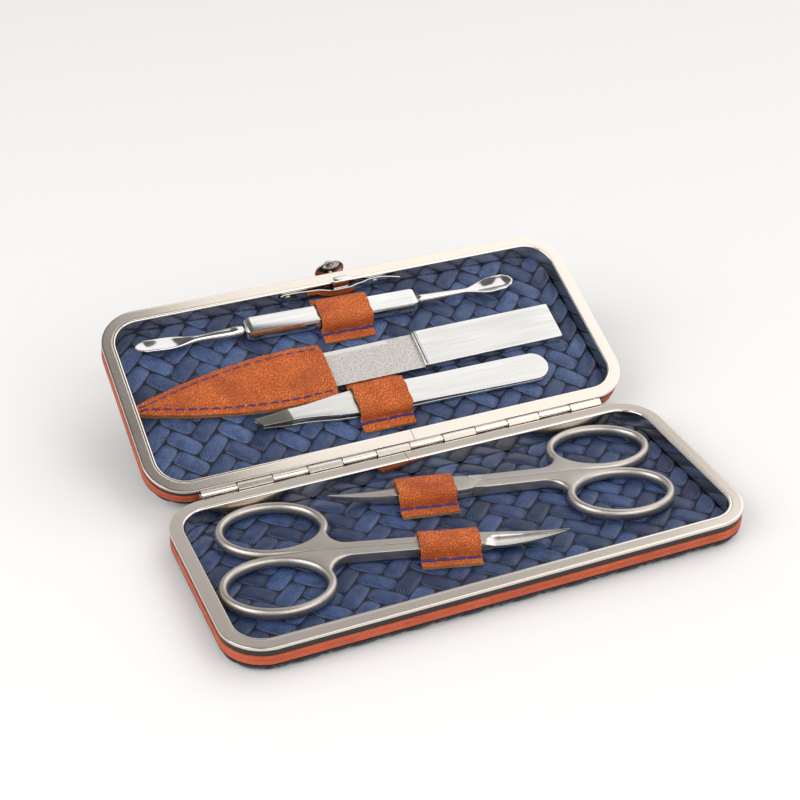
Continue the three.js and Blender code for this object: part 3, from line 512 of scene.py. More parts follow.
def outline_stations(corner_steps=16, seam=None):
    """Corner centres and directions round the tray's outline. With a seam (middle x, width), it is
    open there."""
    right, back = CASE_LENGTH / 2 - CORNER_RADIUS, TRAY_WIDTH / 2 - CORNER_RADIUS
    corners = ((right, -back, -90), (right, back, 0), (-right, back, 90), (-right, -back, 180))
    stations = []
    if seam:
        stations.append((seam[0] + seam[1] / 2, -back, 0.0, -1.0))
    for centre_x, centre_y, start in corners:
        for step in range(corner_steps + 1):
            angle = math.radians(start + 90 * step / corner_steps)
            stations.append((centre_x, centre_y, math.cos(angle), math.sin(angle)))
    if seam:
        stations.append((seam[0] - seam[1] / 2, -back, 0.0, -1.0))
    return stations


def outline_point(station, inset):
    """The outline's point at a station, moved in by an inset."""
    x, y, nx, ny = station
    radius = CORNER_RADIUS - inset
    return x + radius * nx, TRAY_MIDDLE + y + radius * ny


def carried_section(section, stations, closed_outline=True, closed_section=True):
    """A section of (inset, height) points carried round the outline."""
    vertices = []
    for station in stations:
        for inset, height in section:
            vertices.append((*outline_point(station, inset), height))
    faces = grid_faces(len(stations), len(section), closed_outline, closed_section)
    if not closed_outline:
        last = len(vertices) - len(section)
        faces += [tuple(range(len(section))), tuple(range(last, len(vertices)))]
    return vertices, faces


def tub(section, stations):
    """Loops of the outline at (inset, height) points, closed by a flat face at both ends."""
    vertices, faces = carried_section(section, stations, closed_section=False)
    count = len(section)
    faces.append(tuple(index * count for index in range(len(stations))))
    faces.append(tuple(index * count + count - 1 for index in range(len(stations))))
    return vertices, faces


# %% Closed runs of points


def outward_normals(points):
    """Unit normals to the right of a closed run of points, which is outward for a run against the clock."""
    normals = []
    count = len(points)
    for index in range(count):
        before, after = points[index - 1], points[(index + 1) % count]
        dx, dy = after[0] - before[0], after[1] - before[1]
        length = math.hypot(dx, dy) or 1
        normals.append((dy / length, -dx / length))
    return normals


def between(start, end, share):
    """The point at a share of the way from start to end."""
    return start[0] + (end[0] - start[0]) * share, start[1] + (end[1] - start[1]) * share


def resampled(points, spacing):
    """The same closed run of points with extra points on its long stretches."""
    result = []
    for index, point in enumerate(points):
        after = points[(index + 1) % len(points)]
        steps = max(1, round(math.dist(point, after) / spacing))
        for step in range(steps):
            result.append(between(point, after, step / steps))
    return result


# %% Plates with rounded edges


def as_function(radius):
    """The radius as a function of an outline point."""
    return radius if callable(radius) else (lambda x, y: radius)


def rounded_plate(outline, hole, low, high, radius, steps=5, radius_low=None, stretch=None):
    """Points and faces of a plate between two heights, with rounded edges along its outline and its hole.
    radius is a number, or a function of an outline point. stretch makes the rounding that much higher
    than wide."""
    if radius_low is None:
        radius_low = radius
    radius_of = {"top": as_function(radius), "bottom": as_function(radius_low)}
    shares = [step / steps for step in range(steps + 1)]
    profile = [("bottom", share) for share in shares] + [("top", share) for share in reversed(shares)]
    work = bmesh.new()
    flat_edges = {"top": [], "bottom": []}
    for run, sign in ((outline, 1), (hole, -1)):
        if not run:
            continue
        normals = outward_normals(run)
        rings = []
        for side, share in profile:
            ring = []
            for (x, y), (nx, ny) in zip(run, normals):
                reach = radius_of[side](x, y)
                angle = share * math.pi / 2
                inset, rise = reach * (1 - math.sin(angle)), reach * (1 - math.cos(angle))
                rise *= stretch(x, y) if stretch else 1
                z = low + rise if side == "bottom" else high - rise
                ring.append(work.verts.new((x - sign * nx * inset, y - sign * ny * inset, z)))
            rings.append(ring)
        count = len(run)
        for lower, upper in zip(rings, rings[1:]):
            for index in range(count):
                after = (index + 1) % count
                work.faces.new((lower[index], lower[after], upper[after], upper[index]))
        work.edges.ensure_lookup_table()
        for side, ring in (("bottom", rings[0]), ("top", rings[-1])):
            for index in range(count):
                edge = work.edges.get((ring[index], ring[(index + 1) % count]))
                flat_edges[side].append(edge)
    for side in ("bottom", "top"):
        bmesh.ops.triangle_fill(work, use_beauty=True, use_dissolve=False, edges=flat_edges[side])
    work.verts.index_update()
    vertices = [tuple(v.co) for v in work.verts]
    faces = [tuple(v.index for v in face.verts) for face in work.faces]
    work.free()
    return vertices, faces


# %% Lofts, bars and sums of meshes


def joined(*meshes):
    """Several (vertices, faces) pairs as one."""
    vertices, faces = [], []
    for more_vertices, more_faces in meshes:
        start = len(vertices)
        vertices += more_vertices
        faces += [tuple(index + start for index in face) for face in more_faces]
    return vertices, faces


def loft(rings):
    """Closed rings of points joined one after the other, with both ends filled."""
    count = len(rings[0])
    vertices = [point for ring in rings for point in ring]
    faces = grid_faces(len(rings), count, wrap_columns=True)
    faces += [tuple(range(count)), tuple(range(len(vertices) - count, len(vertices)))]
    return vertices, faces


def rod(start, end, radius, facets=28, edge=0.12, axis=0):
    """A round bar between two points on a line along an axis, with softened ends."""
    length = end - start
    rings = []
    for at, reach in ((0, radius - edge), (edge, radius), (length - edge, radius), (length, radius - edge)):
        ring = []
        for step in range(facets):
            angle = 2 * math.pi * step / facets
            point = [start + at, reach * math.cos(angle), reach * math.sin(angle)]
            ring.append(tuple(point[-axis:] + point[:-axis]) if axis else tuple(point))
        rings.append(ring)
    return loft(rings)


def moved(mesh, x=0, y=0, z=0):
    """A mesh's points shifted, with the same faces."""
    vertices, faces = mesh
    return [(v[0] + x, v[1] + y, v[2] + z) for v in vertices], faces


rest_outline = outline_stations()
print("outline stations:", len(rest_outline))

# %% [markdown]
# ## Rim frames
# On the real case the rim is one nickel-plated strip, rolled to this section and bent round
# the tray, with a butt seam near the middle of the hinge side. Its face is satin; the bead
# along the inner edge and the deep inner wall are polished. It is made the same way: a
# section carried round the outline, open at the seam.

# %% Frame section: (inset from the outline, height from the rim plane), and which parts are polished
LIP = 0.6
LIP_HEIGHT = 0.9
WALL_FOOT = -5.65
OUTER_ROUNDING, BEAD_RADIUS = 0.2, 0.45
BEAD_MIDDLE = FRAME_FACE - BEAD_RADIUS
WALL_BACK = FRAME_FACE - FRAME_SHEET
frame_section = ([(LIP, -LIP_HEIGHT), (0.12, -LIP_HEIGHT), (0.0, -0.78), (0.0, -OUTER_ROUNDING - 0.01)]
                 + arc((OUTER_ROUNDING, -OUTER_ROUNDING), OUTER_ROUNDING, 180, 90, 5)[1:]
                 + [(0.62, 0.0), (1.2, 0.0), (1.7, 0.0), (2.2, 0.0), (2.6, 0.0),
                    (2.85, 0.0), (2.93, -0.01), (2.97, -0.10), (3.03, -0.10), (3.07, -0.02)]
                 + arc((BEAD_MIDDLE, -BEAD_RADIUS), BEAD_RADIUS, 100, 0, 7)
                 + [(FRAME_FACE, -2 * BEAD_RADIUS), (FRAME_FACE, WALL_FOOT), (WALL_BACK, WALL_FOOT),
                    (WALL_BACK, -FRAME_SHEET), (LIP, -FRAME_SHEET)])
FACE_EDGES = 15         # the section's first edges are the satin face
SEAM = (2.4, 0.14)      # middle along X, and width
seam_outline = outline_stations(seam=SEAM)
section_slots = [1 if index < FACE_EDGES else 0 for index in range(len(frame_section))]
frame_slots = section_slots * (len(seam_outline) - 1) + [0, 0]
for tray in ("lower", "upper"):
    vertices, faces = carried_section(frame_section, seam_outline, closed_outline=False)
    add_piece(f"{tray}_rim", f"{tray}_case", f"{tray}_rim_frame", "rim_metal", vertices, faces, trays[tray],
              [rim_polished, rim_metal], frame_slots, 30)
print("rim section points:", len(frame_section))

# %% [markdown]
# ## Shell, side band and outer leather
# Under the rim a stiff black shell shows as a narrow dark strip. Below it runs a band of
# orange leather with a soft crease along its middle, and then the plaited leather that
# covers the back. The band and the shell are carried sections.

# %% Shell and band
SHELL_INSET, SHELL_WALL = 1.0, 0.9
SHELL_INNER = SHELL_INSET + SHELL_WALL
SHELL_STEP = 0.32       # the black strip between frame and band stands this far in from the outline
STRIP_CHAMFER = 0.1
BAND_TOP, BAND_FOOT, BAND_BACK = -2.65, -5.2, 0.9
BAND_ROUNDING, BAND_INSET = 0.30, 0.03
GROOVE_INSET = 0.27
strip_foot = BAND_TOP + 0.04
shell_section = [(SHELL_INNER, -6.35), (SHELL_INNER, -0.82), (SHELL_INSET, -0.82),
                 (SHELL_STEP + STRIP_CHAMFER, -0.95), (SHELL_STEP, -1.05), (SHELL_STEP, BAND_TOP + 0.12),
                 (SHELL_STEP + STRIP_CHAMFER, strip_foot), (SHELL_INSET, strip_foot), (SHELL_INSET, -5.4),
                 (SHELL_INSET + 0.5, -6.5), (2.7, -7.08), (2.9, -6.4)]
band_middle = (BAND_TOP + BAND_FOOT) / 2
rounding_middle = BAND_INSET + BAND_ROUNDING
band_section = ([(BAND_BACK, BAND_FOOT), (BAND_BACK, BAND_TOP)]
                + arc((rounding_middle, BAND_TOP - BAND_ROUNDING), BAND_ROUNDING, 90, 165, 4)
                + [(BAND_INSET, band_middle + 0.5), (0.09, band_middle + 0.2), (GROOVE_INSET, band_middle),
                   (0.09, band_middle - 0.2), (BAND_INSET, band_middle - 0.5)]
                + arc((rounding_middle, BAND_FOOT + BAND_ROUNDING), BAND_ROUNDING, 195, 270, 4))
for tray, shell_slot in (("lower", "lower_shell_metal"), ("upper", "upper_shell_board")):
    body = f"{tray}_case"
    vertices, faces = carried_section(shell_section, rest_outline)
    add_piece(f"{tray}_shell_wall", body, f"{tray}_shell", shell_slot, vertices, faces, trays[tray],
              [black_shell])
    vertices, faces = carried_section(band_section, rest_outline)
    add_piece(f"{tray}_band", body, f"{tray}_side_band", "orange_leather", vertices, faces, trays[tray],
              [band_leather])
print("mm of height: band", round(BAND_TOP - BAND_FOOT, 2), "black strip", round(-LIP_HEIGHT - BAND_TOP, 2))

# %% [markdown]
# ## Plaited leather
# The lining and the back are plaited from soft leather strips about 5 mm wide, laid at 45
# degrees. Every strip goes over two others and then under two, so what shows is a
# herringbone of blocks twice as long as they are wide. Each block is made as its own small
# padded patch whose ends dive below its neighbours, which gives true seams and shadows. The
# fine pleats at the ends are in the material, which also paints shade along the seams and at
# the tucked ends, and paints highlight and shade on the pleats.

# %% Where the blocks of the herringbone lie
STRIP_STEP = (3.575, 3.375)     # one strip's width, seen along x and along y
STRIPS_EACH_WAY = 60


def strip_blocks(first_x, first_y, reach_x, reach_y):
    """(middle, half length, half width) of each visible block that can touch a reach_x by reach_y area."""
    step_x, step_y = STRIP_STEP
    blocks = []
    for i in range(-STRIPS_EACH_WAY, STRIPS_EACH_WAY):
        for j in range(-STRIPS_EACH_WAY, STRIPS_EACH_WAY):
            phase = (i + j) % 4
            if phase == 0:
                middle_i, middle_j = i + 1, j + 0.5
                half_length, half_width = (step_x, -step_y), (step_x / 2, step_y / 2)
            elif phase == 2:
                middle_i, middle_j = i + 0.5, j + 1
                half_length, half_width = (step_x, step_y), (step_x / 2, -step_y / 2)
            else:
                continue
            x = first_x + step_x * (middle_i + middle_j)
            y = first_y + step_y * (middle_j - middle_i)
            if reach_x[0] < x < reach_x[1] and reach_y[0] < y < reach_y[1]:
                blocks.append(((x, y), half_length, half_width))
    return blocks


# %% Shape of one block: u runs along it and v across it, both from -1 to 1
BLOCK_U = [-1.13, -1.06, -0.97, -0.86, -0.7, -0.48, -0.24, 0.0, 0.24, 0.48, 0.7, 0.86, 0.97, 1.06, 1.13]
BLOCK_V = [-1.0, -0.985, -0.93, -0.82, -0.62, -0.32, 0.0, 0.32, 0.62, 0.82, 0.93, 0.985, 1.0]
END_NARROWING = 0.13
# Shares of the plait's depth
LEVEL, SAG, DIVE, SWELL, SHOULDER, EDGE_DROP, CREASE = 0.06, 0.08, 0.78, 0.24, 0.40, 0.36, 0.05
DIVE_FROM, DIVE_LENGTH, DIVE_POWER = 0.48, 0.65, 1.7
SHOULDER_FROM, CREASE_WIDTH = 0.55, 0.18


def block_depth(u, v, fold):
    """How deep a block's skin lies: it sags and dives at its ends, and is rounded off along its sides."""
    dive = SAG * u * u + DIVE * max(0.0, abs(u) - DIVE_FROM) ** DIVE_POWER / DIVE_LENGTH ** DIVE_POWER
    crown = SWELL * v * v + SHOULDER * (max(0.0, abs(v) - SHOULDER_FROM) / (1 - SHOULDER_FROM)) ** 2
    drop = 0.0 if abs(v) < 0.98 else EDGE_DROP
    crease = CREASE * math.exp(-((v - fold) / CREASE_WIDTH) ** 2) * (0.5 + 0.5 * abs(u))
    return LEVEL + dive + crown + drop + crease


def block_points(block, depth, chance):
    """Plan place, height, u and v of one block's points. No two blocks are quite alike."""
    (x, y), (ax, ay), (bx, by) = block
    tilt, lean, twist = chance.uniform(-0.06, 0.06), chance.uniform(-0.05, 0.05), chance.uniform(-0.03, 0.03)
    wide = chance.uniform(1.02, 1.09)
    fold = chance.uniform(-0.5, 0.5)
    points = []
    for u in BLOCK_U:
        for v in BLOCK_V:
            narrow = wide * (1 - END_NARROWING * abs(u) ** 3)
            px = x + ax * u + bx * v * narrow + ay * twist * u * v
            py = y + ay * u + by * v * narrow - ax * twist * u * v
            height = -depth * (block_depth(u, v, fold) - tilt * u - lean * v)
            points.append((px, py, height, u, v))
    return points


# %% A whole plait


def plaited(name, body, node, blocks, place_point, frame_matrix, materials, depth, seed, base,
            facing=1):
    """All blocks as one mesh, on a plain base. place_point(x, y, height) gives a plaited point's place,
    and how far outside the surface it was. facing is 1 where the plait looks up from its tray, and -1
    where it looks down."""
    chance = random.Random(seed)
    vertices, faces, uvs, tones = [], [], [], []
    for block in blocks:
        tone = chance.random()
        patch = block_points(block, depth, chance)
        placed = [place_point(px, py, height) for px, py, height, u, v in patch]
        if all(excess > 0 for point, excess in placed):
            continue
        patch_faces = grid_faces(len(BLOCK_U), len(BLOCK_V), start=len(vertices))
        middle, (ax, ay), (bx, by) = block
        if (ax * by - ay * bx) * facing > 0:
            patch_faces = [face[::-1] for face in patch_faces]
        vertices += [point for point, excess in placed]
        uvs += [(u, v) for *_, u, v in patch]
        tones += [tone] * len(patch)
        faces += patch_faces
    mesh = bpy.data.meshes.new(name)
    strip_count = len(vertices)
    base_vertices, base_faces = base
    faces += [tuple(index + strip_count for index in face) for face in base_faces]
    mesh.from_pydata([tuple(frame_matrix @ Vector(v)) for v in vertices + base_vertices], [], faces)
    for material in materials:
        mesh.materials.append(material)
    uvs += [(0, 0)] * len(base_vertices)
    tones += [0] * len(base_vertices)
    layer = mesh.uv_layers.new(name="strip")
    loops = [uvs[loop.vertex_index] for loop in mesh.loops]
    layer.data.foreach_set("uv", [number for pair in loops for number in pair])
    mesh.attributes.new("tone", "FLOAT", "POINT").data.foreach_set("value", tones)
    first_base = len(faces) - len(base_faces)
    mesh.polygons.foreach_set("material_index", [0] * first_base + [1] * len(base_faces))
    mesh.polygons.foreach_set("use_smooth", [True] * first_base + [False] * len(base_faces))
    mesh.update()
    piece = bpy.data.objects.new(name, mesh)
    bpy.context.collection.objects.link(piece)
    tie(piece, body, node)
    return piece


# %% Linings
LINING_INSET = FRAME_FACE + 0.05
PLAIT_DEPTH = 0.8
BASE_SHEET = 0.15       # the plain base under the plait
lining_foot = -RECESS_DEPTH - 0.62
lining_peak = -RECESS_DEPTH + 0.16


def inside_outline(x, y, inset):
    """The point itself, or where it meets the outline moved in by an inset; and how far outside it was."""
    half_x, half_y = CASE_LENGTH / 2 - inset, TRAY_WIDTH / 2 - inset
    radius = CORNER_RADIUS - inset
    cy = y - TRAY_MIDDLE
    over_x, over_y = abs(x) - (half_x - radius), abs(cy) - (half_y - radius)
    if over_x > 0 and over_y > 0:
        far = math.hypot(over_x, over_y)
        excess = far - radius
        if excess <= 0:
            return x, y, 0.0
        share = radius / far
        return (math.copysign(half_x - radius + over_x * share, x),
                TRAY_MIDDLE + math.copysign(half_y - radius + over_y * share, cy), excess)
    excess = max(abs(x) - half_x, abs(cy) - half_y, 0.0)
    return max(-half_x, min(half_x, x)), TRAY_MIDDLE + max(-half_y, min(half_y, cy)), excess


def on_lining(x, y, height):
    """A plaited point on the flat lining."""
    px, py, excess = inside_outline(x, y, LINING_INSET)
    return (px, py, lining_peak + height), excess


def mirrored(blocks):
    """The blocks mirrored from left to right."""
    return [((-x, y), (-ax, ay), (-bx, by)) for (x, y), (ax, ay), (bx, by) in blocks]


reach_x, reach_y = (-75, 75), (-2, 68)
lining_base = tub([(LINING_INSET, lining_foot), (LINING_INSET, lining_foot - BASE_SHEET)], rest_outline)
linings = (("lower", mirrored(strip_blocks(17, 42.3, reach_x, reach_y)), 3, blue_weave),
           ("upper", strip_blocks(-62.3, 21.7, reach_x, reach_y), 8, lit_weave))
for tray, blocks, seed, weave in linings:
    lining = plaited(f"{tray}_plaited_lining", f"{tray}_case", f"{tray}_woven_lining", blocks,
                     on_lining, trays[tray], [weave, seam_shade_back], PLAIT_DEPTH, seed, lining_base)
    print(lining.name, "vertices:", len(lining.data.vertices))

# %% Backs
COVER_RADIUS = 2.4
COVER_INSET = 0.1
COVER_TOP = -5.3
COVER_PEAK = 0.02       # the highest strips stay this far inside the cover's own face
BACK_DEPTH = 0.62
rounding_inset, rounding_height = COVER_INSET + COVER_RADIUS, COVER_RADIUS - TRAY_HEIGHT


def on_back(x, y, height):
    """Plan distances run on round the cover's rounded edge, and end at its top."""
    px, py, excess = inside_outline(x, y, rounding_inset)
    quarter = COVER_RADIUS * math.pi / 2
    angle = min(excess, quarter) / COVER_RADIUS
    dx, dy = x - px, y - py
    far = math.hypot(dx, dy) or 1.0
    reach = COVER_RADIUS + height - COVER_PEAK
    out, down = reach * math.sin(angle), reach * math.cos(angle)
    return (px + dx / far * out, py + dy / far * out, rounding_height - down), excess - quarter


back_section = [(COVER_INSET + 0.75, COVER_TOP)]
back_section += arc((rounding_inset, rounding_height), COVER_RADIUS - BACK_DEPTH, 180, 270, 8)
edge_section = [(COVER_INSET, COVER_TOP - 0.22), (COVER_INSET + 0.05, COVER_TOP - 0.04),
                (COVER_INSET + 0.35, COVER_TOP), (COVER_INSET + 0.9, COVER_TOP),
                (COVER_INSET + 0.9, COVER_TOP - 0.3)]
back_base = joined(tub(back_section, rest_outline), carried_section(edge_section, rest_outline))
back_blocks = strip_blocks(5.0, 30.0, (-80, 80), (-7, 73))
for tray, seed in (("lower", 21), ("upper", 34)):
    back = plaited(f"{tray}_plaited_back", f"{tray}_case", f"{tray}_leather_cover", back_blocks,
                   on_back, trays[tray], [dark_weave, seam_shade_back], BACK_DEPTH, seed, back_base, -1)
    print(back.name, "vertices:", len(back.data.vertices))

# %% [markdown]
# ## Hinge and clasp
# The piano hinge is rolled from two brass leaves round one steel pin, every second knuckle
# belonging to the other leaf. The clasp is a polished knob on a stem through the upper rim;
# pressing it pushes the sprung hook out of its slot in the lower rim. Knuckles and stem are
# turned bars, the knob is a turned profile, and the spring is a bent strip.

# %% Hinge sizes, a block and a knuckle
HINGE_LENGTH = 118
KNUCKLES = 12
KNUCKLE_RADIUS = 1.15
KNUCKLE_GAP = 0.25
LEAF_FAR = HINGE_OFFSET - 0.25
LEAF_NEAR = LEAF_FAR - 0.7
WING_TOP, WING_FOOT = 0.35, -1.75       # heights over the pin's middle
ROLLED_TO = 305         # degrees; where the rolled leaf ends
PIN_RADIUS = 0.55


def box(low, high, edge=0.08):
    """A block with softened vertical edges."""
    (x0, y0, z0), (x1, y1, z1) = low, high
    outline = [(x0, y0), (x1, y0), (x1, y1), (x0, y1)]
    return rounded_plate(resampled(outline, max(x1 - x0, y1 - y0)), None, z0, z1, edge, 2)


def rolled_knuckle(left, right):
    """The leaf comes up, runs on straight to the knuckle and is rolled round the pin."""
    far = math.hypot(LEAF_FAR, WING_TOP)
    touch = math.degrees(math.atan2(WING_TOP, LEAF_FAR) + math.acos(KNUCKLE_RADIUS / far))
    rolled = arc((0, 0), KNUCKLE_RADIUS, touch, ROLLED_TO, 26)
    section = [(LEAF_FAR, WING_FOOT), (LEAF_FAR, WING_TOP)] + rolled + [(LEAF_NEAR, WING_FOOT)]
    edge = 0.07
    middle_y = sum(y for y, z in section) / len(section)
    rings = []
    for x, shrink in ((left, 0.94), (left + edge, 1.0), (right - edge, 1.0), (right, 0.94)):
        rings.append([(x, middle_y + (y - middle_y) * shrink, z * shrink) for y, z in section])
    return loft(rings)


# %% Hinge leaves, stops and pin


def hinge_leaf():
    """One leaf with every second knuckle."""
    meshes = [box((-HINGE_LENGTH / 2, LEAF_NEAR, -2.5), (HINGE_LENGTH / 2, LEAF_FAR, -1.3))]
    pitch = HINGE_LENGTH / KNUCKLES
    for index in range(0, KNUCKLES, 2):
        left = -HINGE_LENGTH / 2 + index * pitch + KNUCKLE_GAP / 2
        right = left + pitch - KNUCKLE_GAP
        meshes.append(moved(rolled_knuckle(left, right), z=RIM_BELOW_AXIS))
    return joined(*meshes)


def hinge_stops():
    """Two blocks on the lower leaf that hold the upper tray at its angle."""
    outer, length = HINGE_LENGTH / 2 - 8, 5
    near, high = LEAF_FAR - 0.35, RIM_BELOW_AXIS - 1.75
    return joined(*[box((x, -1.5, high - 0.55), (x + length, near, high)) for x in (-outer, outer - length)])


for tray in ("lower", "upper"):
    leaf = joined(hinge_leaf(), hinge_stops()) if tray == "lower" else hinge_leaf()
    add_piece(f"{tray}_hinge_knuckles", f"{tray}_case", f"{tray}_hinge_leaf", "hinge_metal", *leaf,
              trays[tray], [hinge_metal])
pin_half = HINGE_LENGTH / 2 + 0.02
add_piece("hinge_pin_rod", "lower_case", "hinge_pin", "pin_steel",
          *moved(rod(-pin_half, pin_half, PIN_RADIUS, 20), z=RIM_BELOW_AXIS), lower_tray, [pin_steel])
print(KNUCKLES, "knuckles of", round(HINGE_LENGTH / KNUCKLES - KNUCKLE_GAP, 2), "mm")

# %% Clasp knob and stem
CLASP_X = 0.4
CLASP_DEPTH = 1.8
OUTER_WALL = HINGE_OFFSET + TRAY_WIDTH
INNER_WALL = OUTER_WALL - FRAME_FACE
STEM_RADIUS = 0.75
HOOK_SHEET, HOOK_STAND_OFF = 0.6, 1.0
hook_outer = INNER_WALL - HOOK_STAND_OFF
hook_inner = hook_outer - HOOK_SHEET
knob_foot = OUTER_WALL + 1.1


def turned(profile, facets=56):
    """A (radius, height) profile turned about +Y; its first and last points lie on the axis."""
    rings = []
    for radius, height in profile[1:-1]:
        ring = []
        for step in range(facets):
            angle = 2 * math.pi * step / facets
            ring.append((radius * math.cos(angle), height, radius * math.sin(angle)))
        rings.append(ring)
    vertices = [point for ring in rings for point in ring]
    faces = grid_faces(len(rings), facets, wrap_columns=True)
    bottom, top = len(vertices), len(vertices) + 1
    vertices += [(0, profile[0][1], 0), (0, profile[-1][1], 0)]
    last = (len(rings) - 1) * facets
    for step in range(facets):
        after = (step + 1) % facets
        faces += [(bottom, step, after), (top, last + after, last + step)]
    return vertices, faces


knob_profile = ([(0, 0.0), (1.0, 0.0), (1.5, 0.05), (2.2, 0.26), (3.0, 0.56), (3.7, 0.86), (3.95, 0.92)]
                + arc((4.2, 1.2), 0.30, -110, 70, 10)
                + [(4.15, 1.52), (3.9, 1.56), (3.7, 1.62), (3.4, 1.80), (2.9, 2.05), (2.2, 2.38), (1.3, 2.55),
                   (0.5, 2.6), (0, 2.6)])
knob = moved(turned(knob_profile), CLASP_X, knob_foot, -CLASP_DEPTH)
add_piece("clasp_knob", "clasp", "clasp_button", "bright_steel", *knob, upper_tray, [chrome], None, 60)
stem = moved(rod(hook_inner - 0.05, knob_foot + 0.6, STEM_RADIUS, 28, axis=1), CLASP_X, 0, -CLASP_DEPTH)
add_piece("clasp_stem_bar", "clasp", "clasp_stem", "pin_steel", *stem, upper_tray, [pin_steel])
print("knob is", 2 * max(radius for radius, height in knob_profile), "mm wide")

# %% Hook: a bent strip with a turned-over lip, drawn from the side and given the strip's width
HOOK_WIDTH = 4.5
HOOK_MIDDLE = CLASP_X + 0.85
hook_side = ([(hook_inner, -3.3), (hook_outer, -3.3), (hook_outer, 1.35)]
             + arc((hook_outer + 0.2, 1.55), 0.2, 180, 100, 3)
             + [(INNER_WALL + 0.3, 1.62), (INNER_WALL + 0.4, 1.8), (INNER_WALL + 0.3, 2.1), (INNER_WALL, 2.2)]
             + arc((hook_inner + 0.6, 1.6), 0.6, 90, 180, 5))
hook_left = HOOK_MIDDLE - HOOK_WIDTH / 2
hook_points, hook_faces = rounded_plate(hook_side, None, hook_left, hook_left + HOOK_WIDTH, 0.10, 3)
add_piece("clasp_catch", "clasp", "clasp_hook", "bright_steel", [(z, x, y) for x, y, z in hook_points],
          hook_faces, upper_tray, [chrome])
print("hook stands", max(height for y, height in hook_side), "mm over the rim")

# %% Leaf spring
SPRING_LEFT, SPRING_RIGHT = -17, 20
SPRING_SHEET, SPRING_HEIGHT, SPRING_ROUNDING = 0.4, 2.4, 0.08
SPRING_MIDDLE = -LIP_HEIGHT - SPRING_HEIGHT / 2
SPRING_SPLIT = 0.493    # share of the length where the two halves meet on the hook
HOOK_FACE, NEAR_WALL = 1.66, 0.12
# How far the strip stands off the wall: riveted close to it near both ends, over the hook in the middle
spring_bow = [(0, 0.5), (0.03, NEAR_WALL), (0.12, NEAR_WALL), (0.30, 0.55), (0.42, HOOK_FACE),
              (0.56, HOOK_FACE), (0.66, 0.9), (0.76, NEAR_WALL), (0.83, NEAR_WALL), (1, 1.3)]


def spring_half(start, end, stations=48):
    """The strip between two shares of its length, narrowed at its free end."""
    rings = []
    for step in range(stations + 1):
        share = start + (end - start) * step / stations
        x = SPRING_LEFT + (SPRING_RIGHT - SPRING_LEFT) * share
        face = INNER_WALL - along_stops(spring_bow, share)
        back = face - SPRING_SHEET
        half = SPRING_HEIGHT / 2 * (1 - 0.25 * max(0, (share - 0.93) / 0.07) ** 2)
        low, high, soft = SPRING_MIDDLE - half, SPRING_MIDDLE + half, SPRING_ROUNDING
        section = [(face, low + soft), (face, high - soft), (face - soft, high), (back + soft, high),
                   (back, high - soft), (back, low + soft), (back + soft, low), (face - soft, low)]
        rings.append([(x, y, z) for y, z in section])
    return loft(rings)


spring_halves = (("left", 0, SPRING_SPLIT, -12.5, -1.2), ("right", SPRING_SPLIT, 1, 10.5, 3.8))
for side, start, end, fixed_x, moving_x in spring_halves:
    half = add_piece(f"clasp_spring_{side}", None, "clasp_leaf_spring", "bright_steel",
                     *spring_half(start, end), upper_tray, [chrome])
    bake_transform(half)
print("spring is", SPRING_RIGHT - SPRING_LEFT, "mm long, and its halves meet at share", SPRING_SPLIT)

# %% The spring's rivets
RIVET_HEIGHT = 0.35
rivet_profile = [(0, 0.0), (0.5, 0.03), (0.75, 0.12), (0.85, 0.28), (0.85, RIVET_HEIGHT), (0, RIVET_HEIGHT)]
for name, x in (("left", -14.6), ("right", 12.4)):
    share = (x - SPRING_LEFT) / (SPRING_RIGHT - SPRING_LEFT)
    face = INNER_WALL - along_stops(spring_bow, share) - SPRING_SHEET - 0.06
    head = moved(turned(rivet_profile, 32), x, face - RIVET_HEIGHT, SPRING_MIDDLE)
    add_piece(f"spring_rivet_{name}_head", "upper_case", f"clasp_spring_rivet_{name}", "pin_steel", *head,
              upper_tray, [pin_steel], None, 60)
    print(name, "rivet at", x, "mm")

# %% [markdown]
# ### Openings for the clasp
# The stem passes through a bore in the upper tray's wall. The hook's lip snaps into a slot
# that is punched in the lower frame's inner wall. Both are cut with a boolean, as a punch
# and a drill would do it.

# %% Bore and slot
STEM_FIT = 0.25
SLOT_HALF = HOOK_WIDTH / 2 + 0.5
CATCH_SLOT = (-2.5, -0.8)     # heights, below the lower rim plane


def cut_away(piece, cutter_mesh, frame_matrix, smooth_angle=30):
    """Takes a closed shape out of a piece, and keeps the piece's body, node and slot."""
    vertices, faces = cutter_mesh
    tool_mesh = bpy.data.meshes.new("punch")
    tool_mesh.from_pydata([tuple(frame_matrix @ Vector(v)) for v in vertices], [], faces)
    finish_mesh(tool_mesh, smooth_angle)
    punch = bpy.data.objects.new("punch", tool_mesh)
    bpy.context.collection.objects.link(punch)
    opening = piece.modifiers.new("opening", "BOOLEAN")
    opening.operation, opening.solver, opening.object = "DIFFERENCE", "EXACT", punch
    cut = bpy.data.meshes.new_from_object(piece.evaluated_get(bpy.context.evaluated_depsgraph_get()))
    piece.modifiers.clear()
    before = len(piece.data.vertices)
    piece.data = cut
    bpy.data.objects.remove(punch)
    finish_mesh(cut, smooth_angle)
    print(piece.name, "opened:", before, "to", len(cut.vertices), "points")


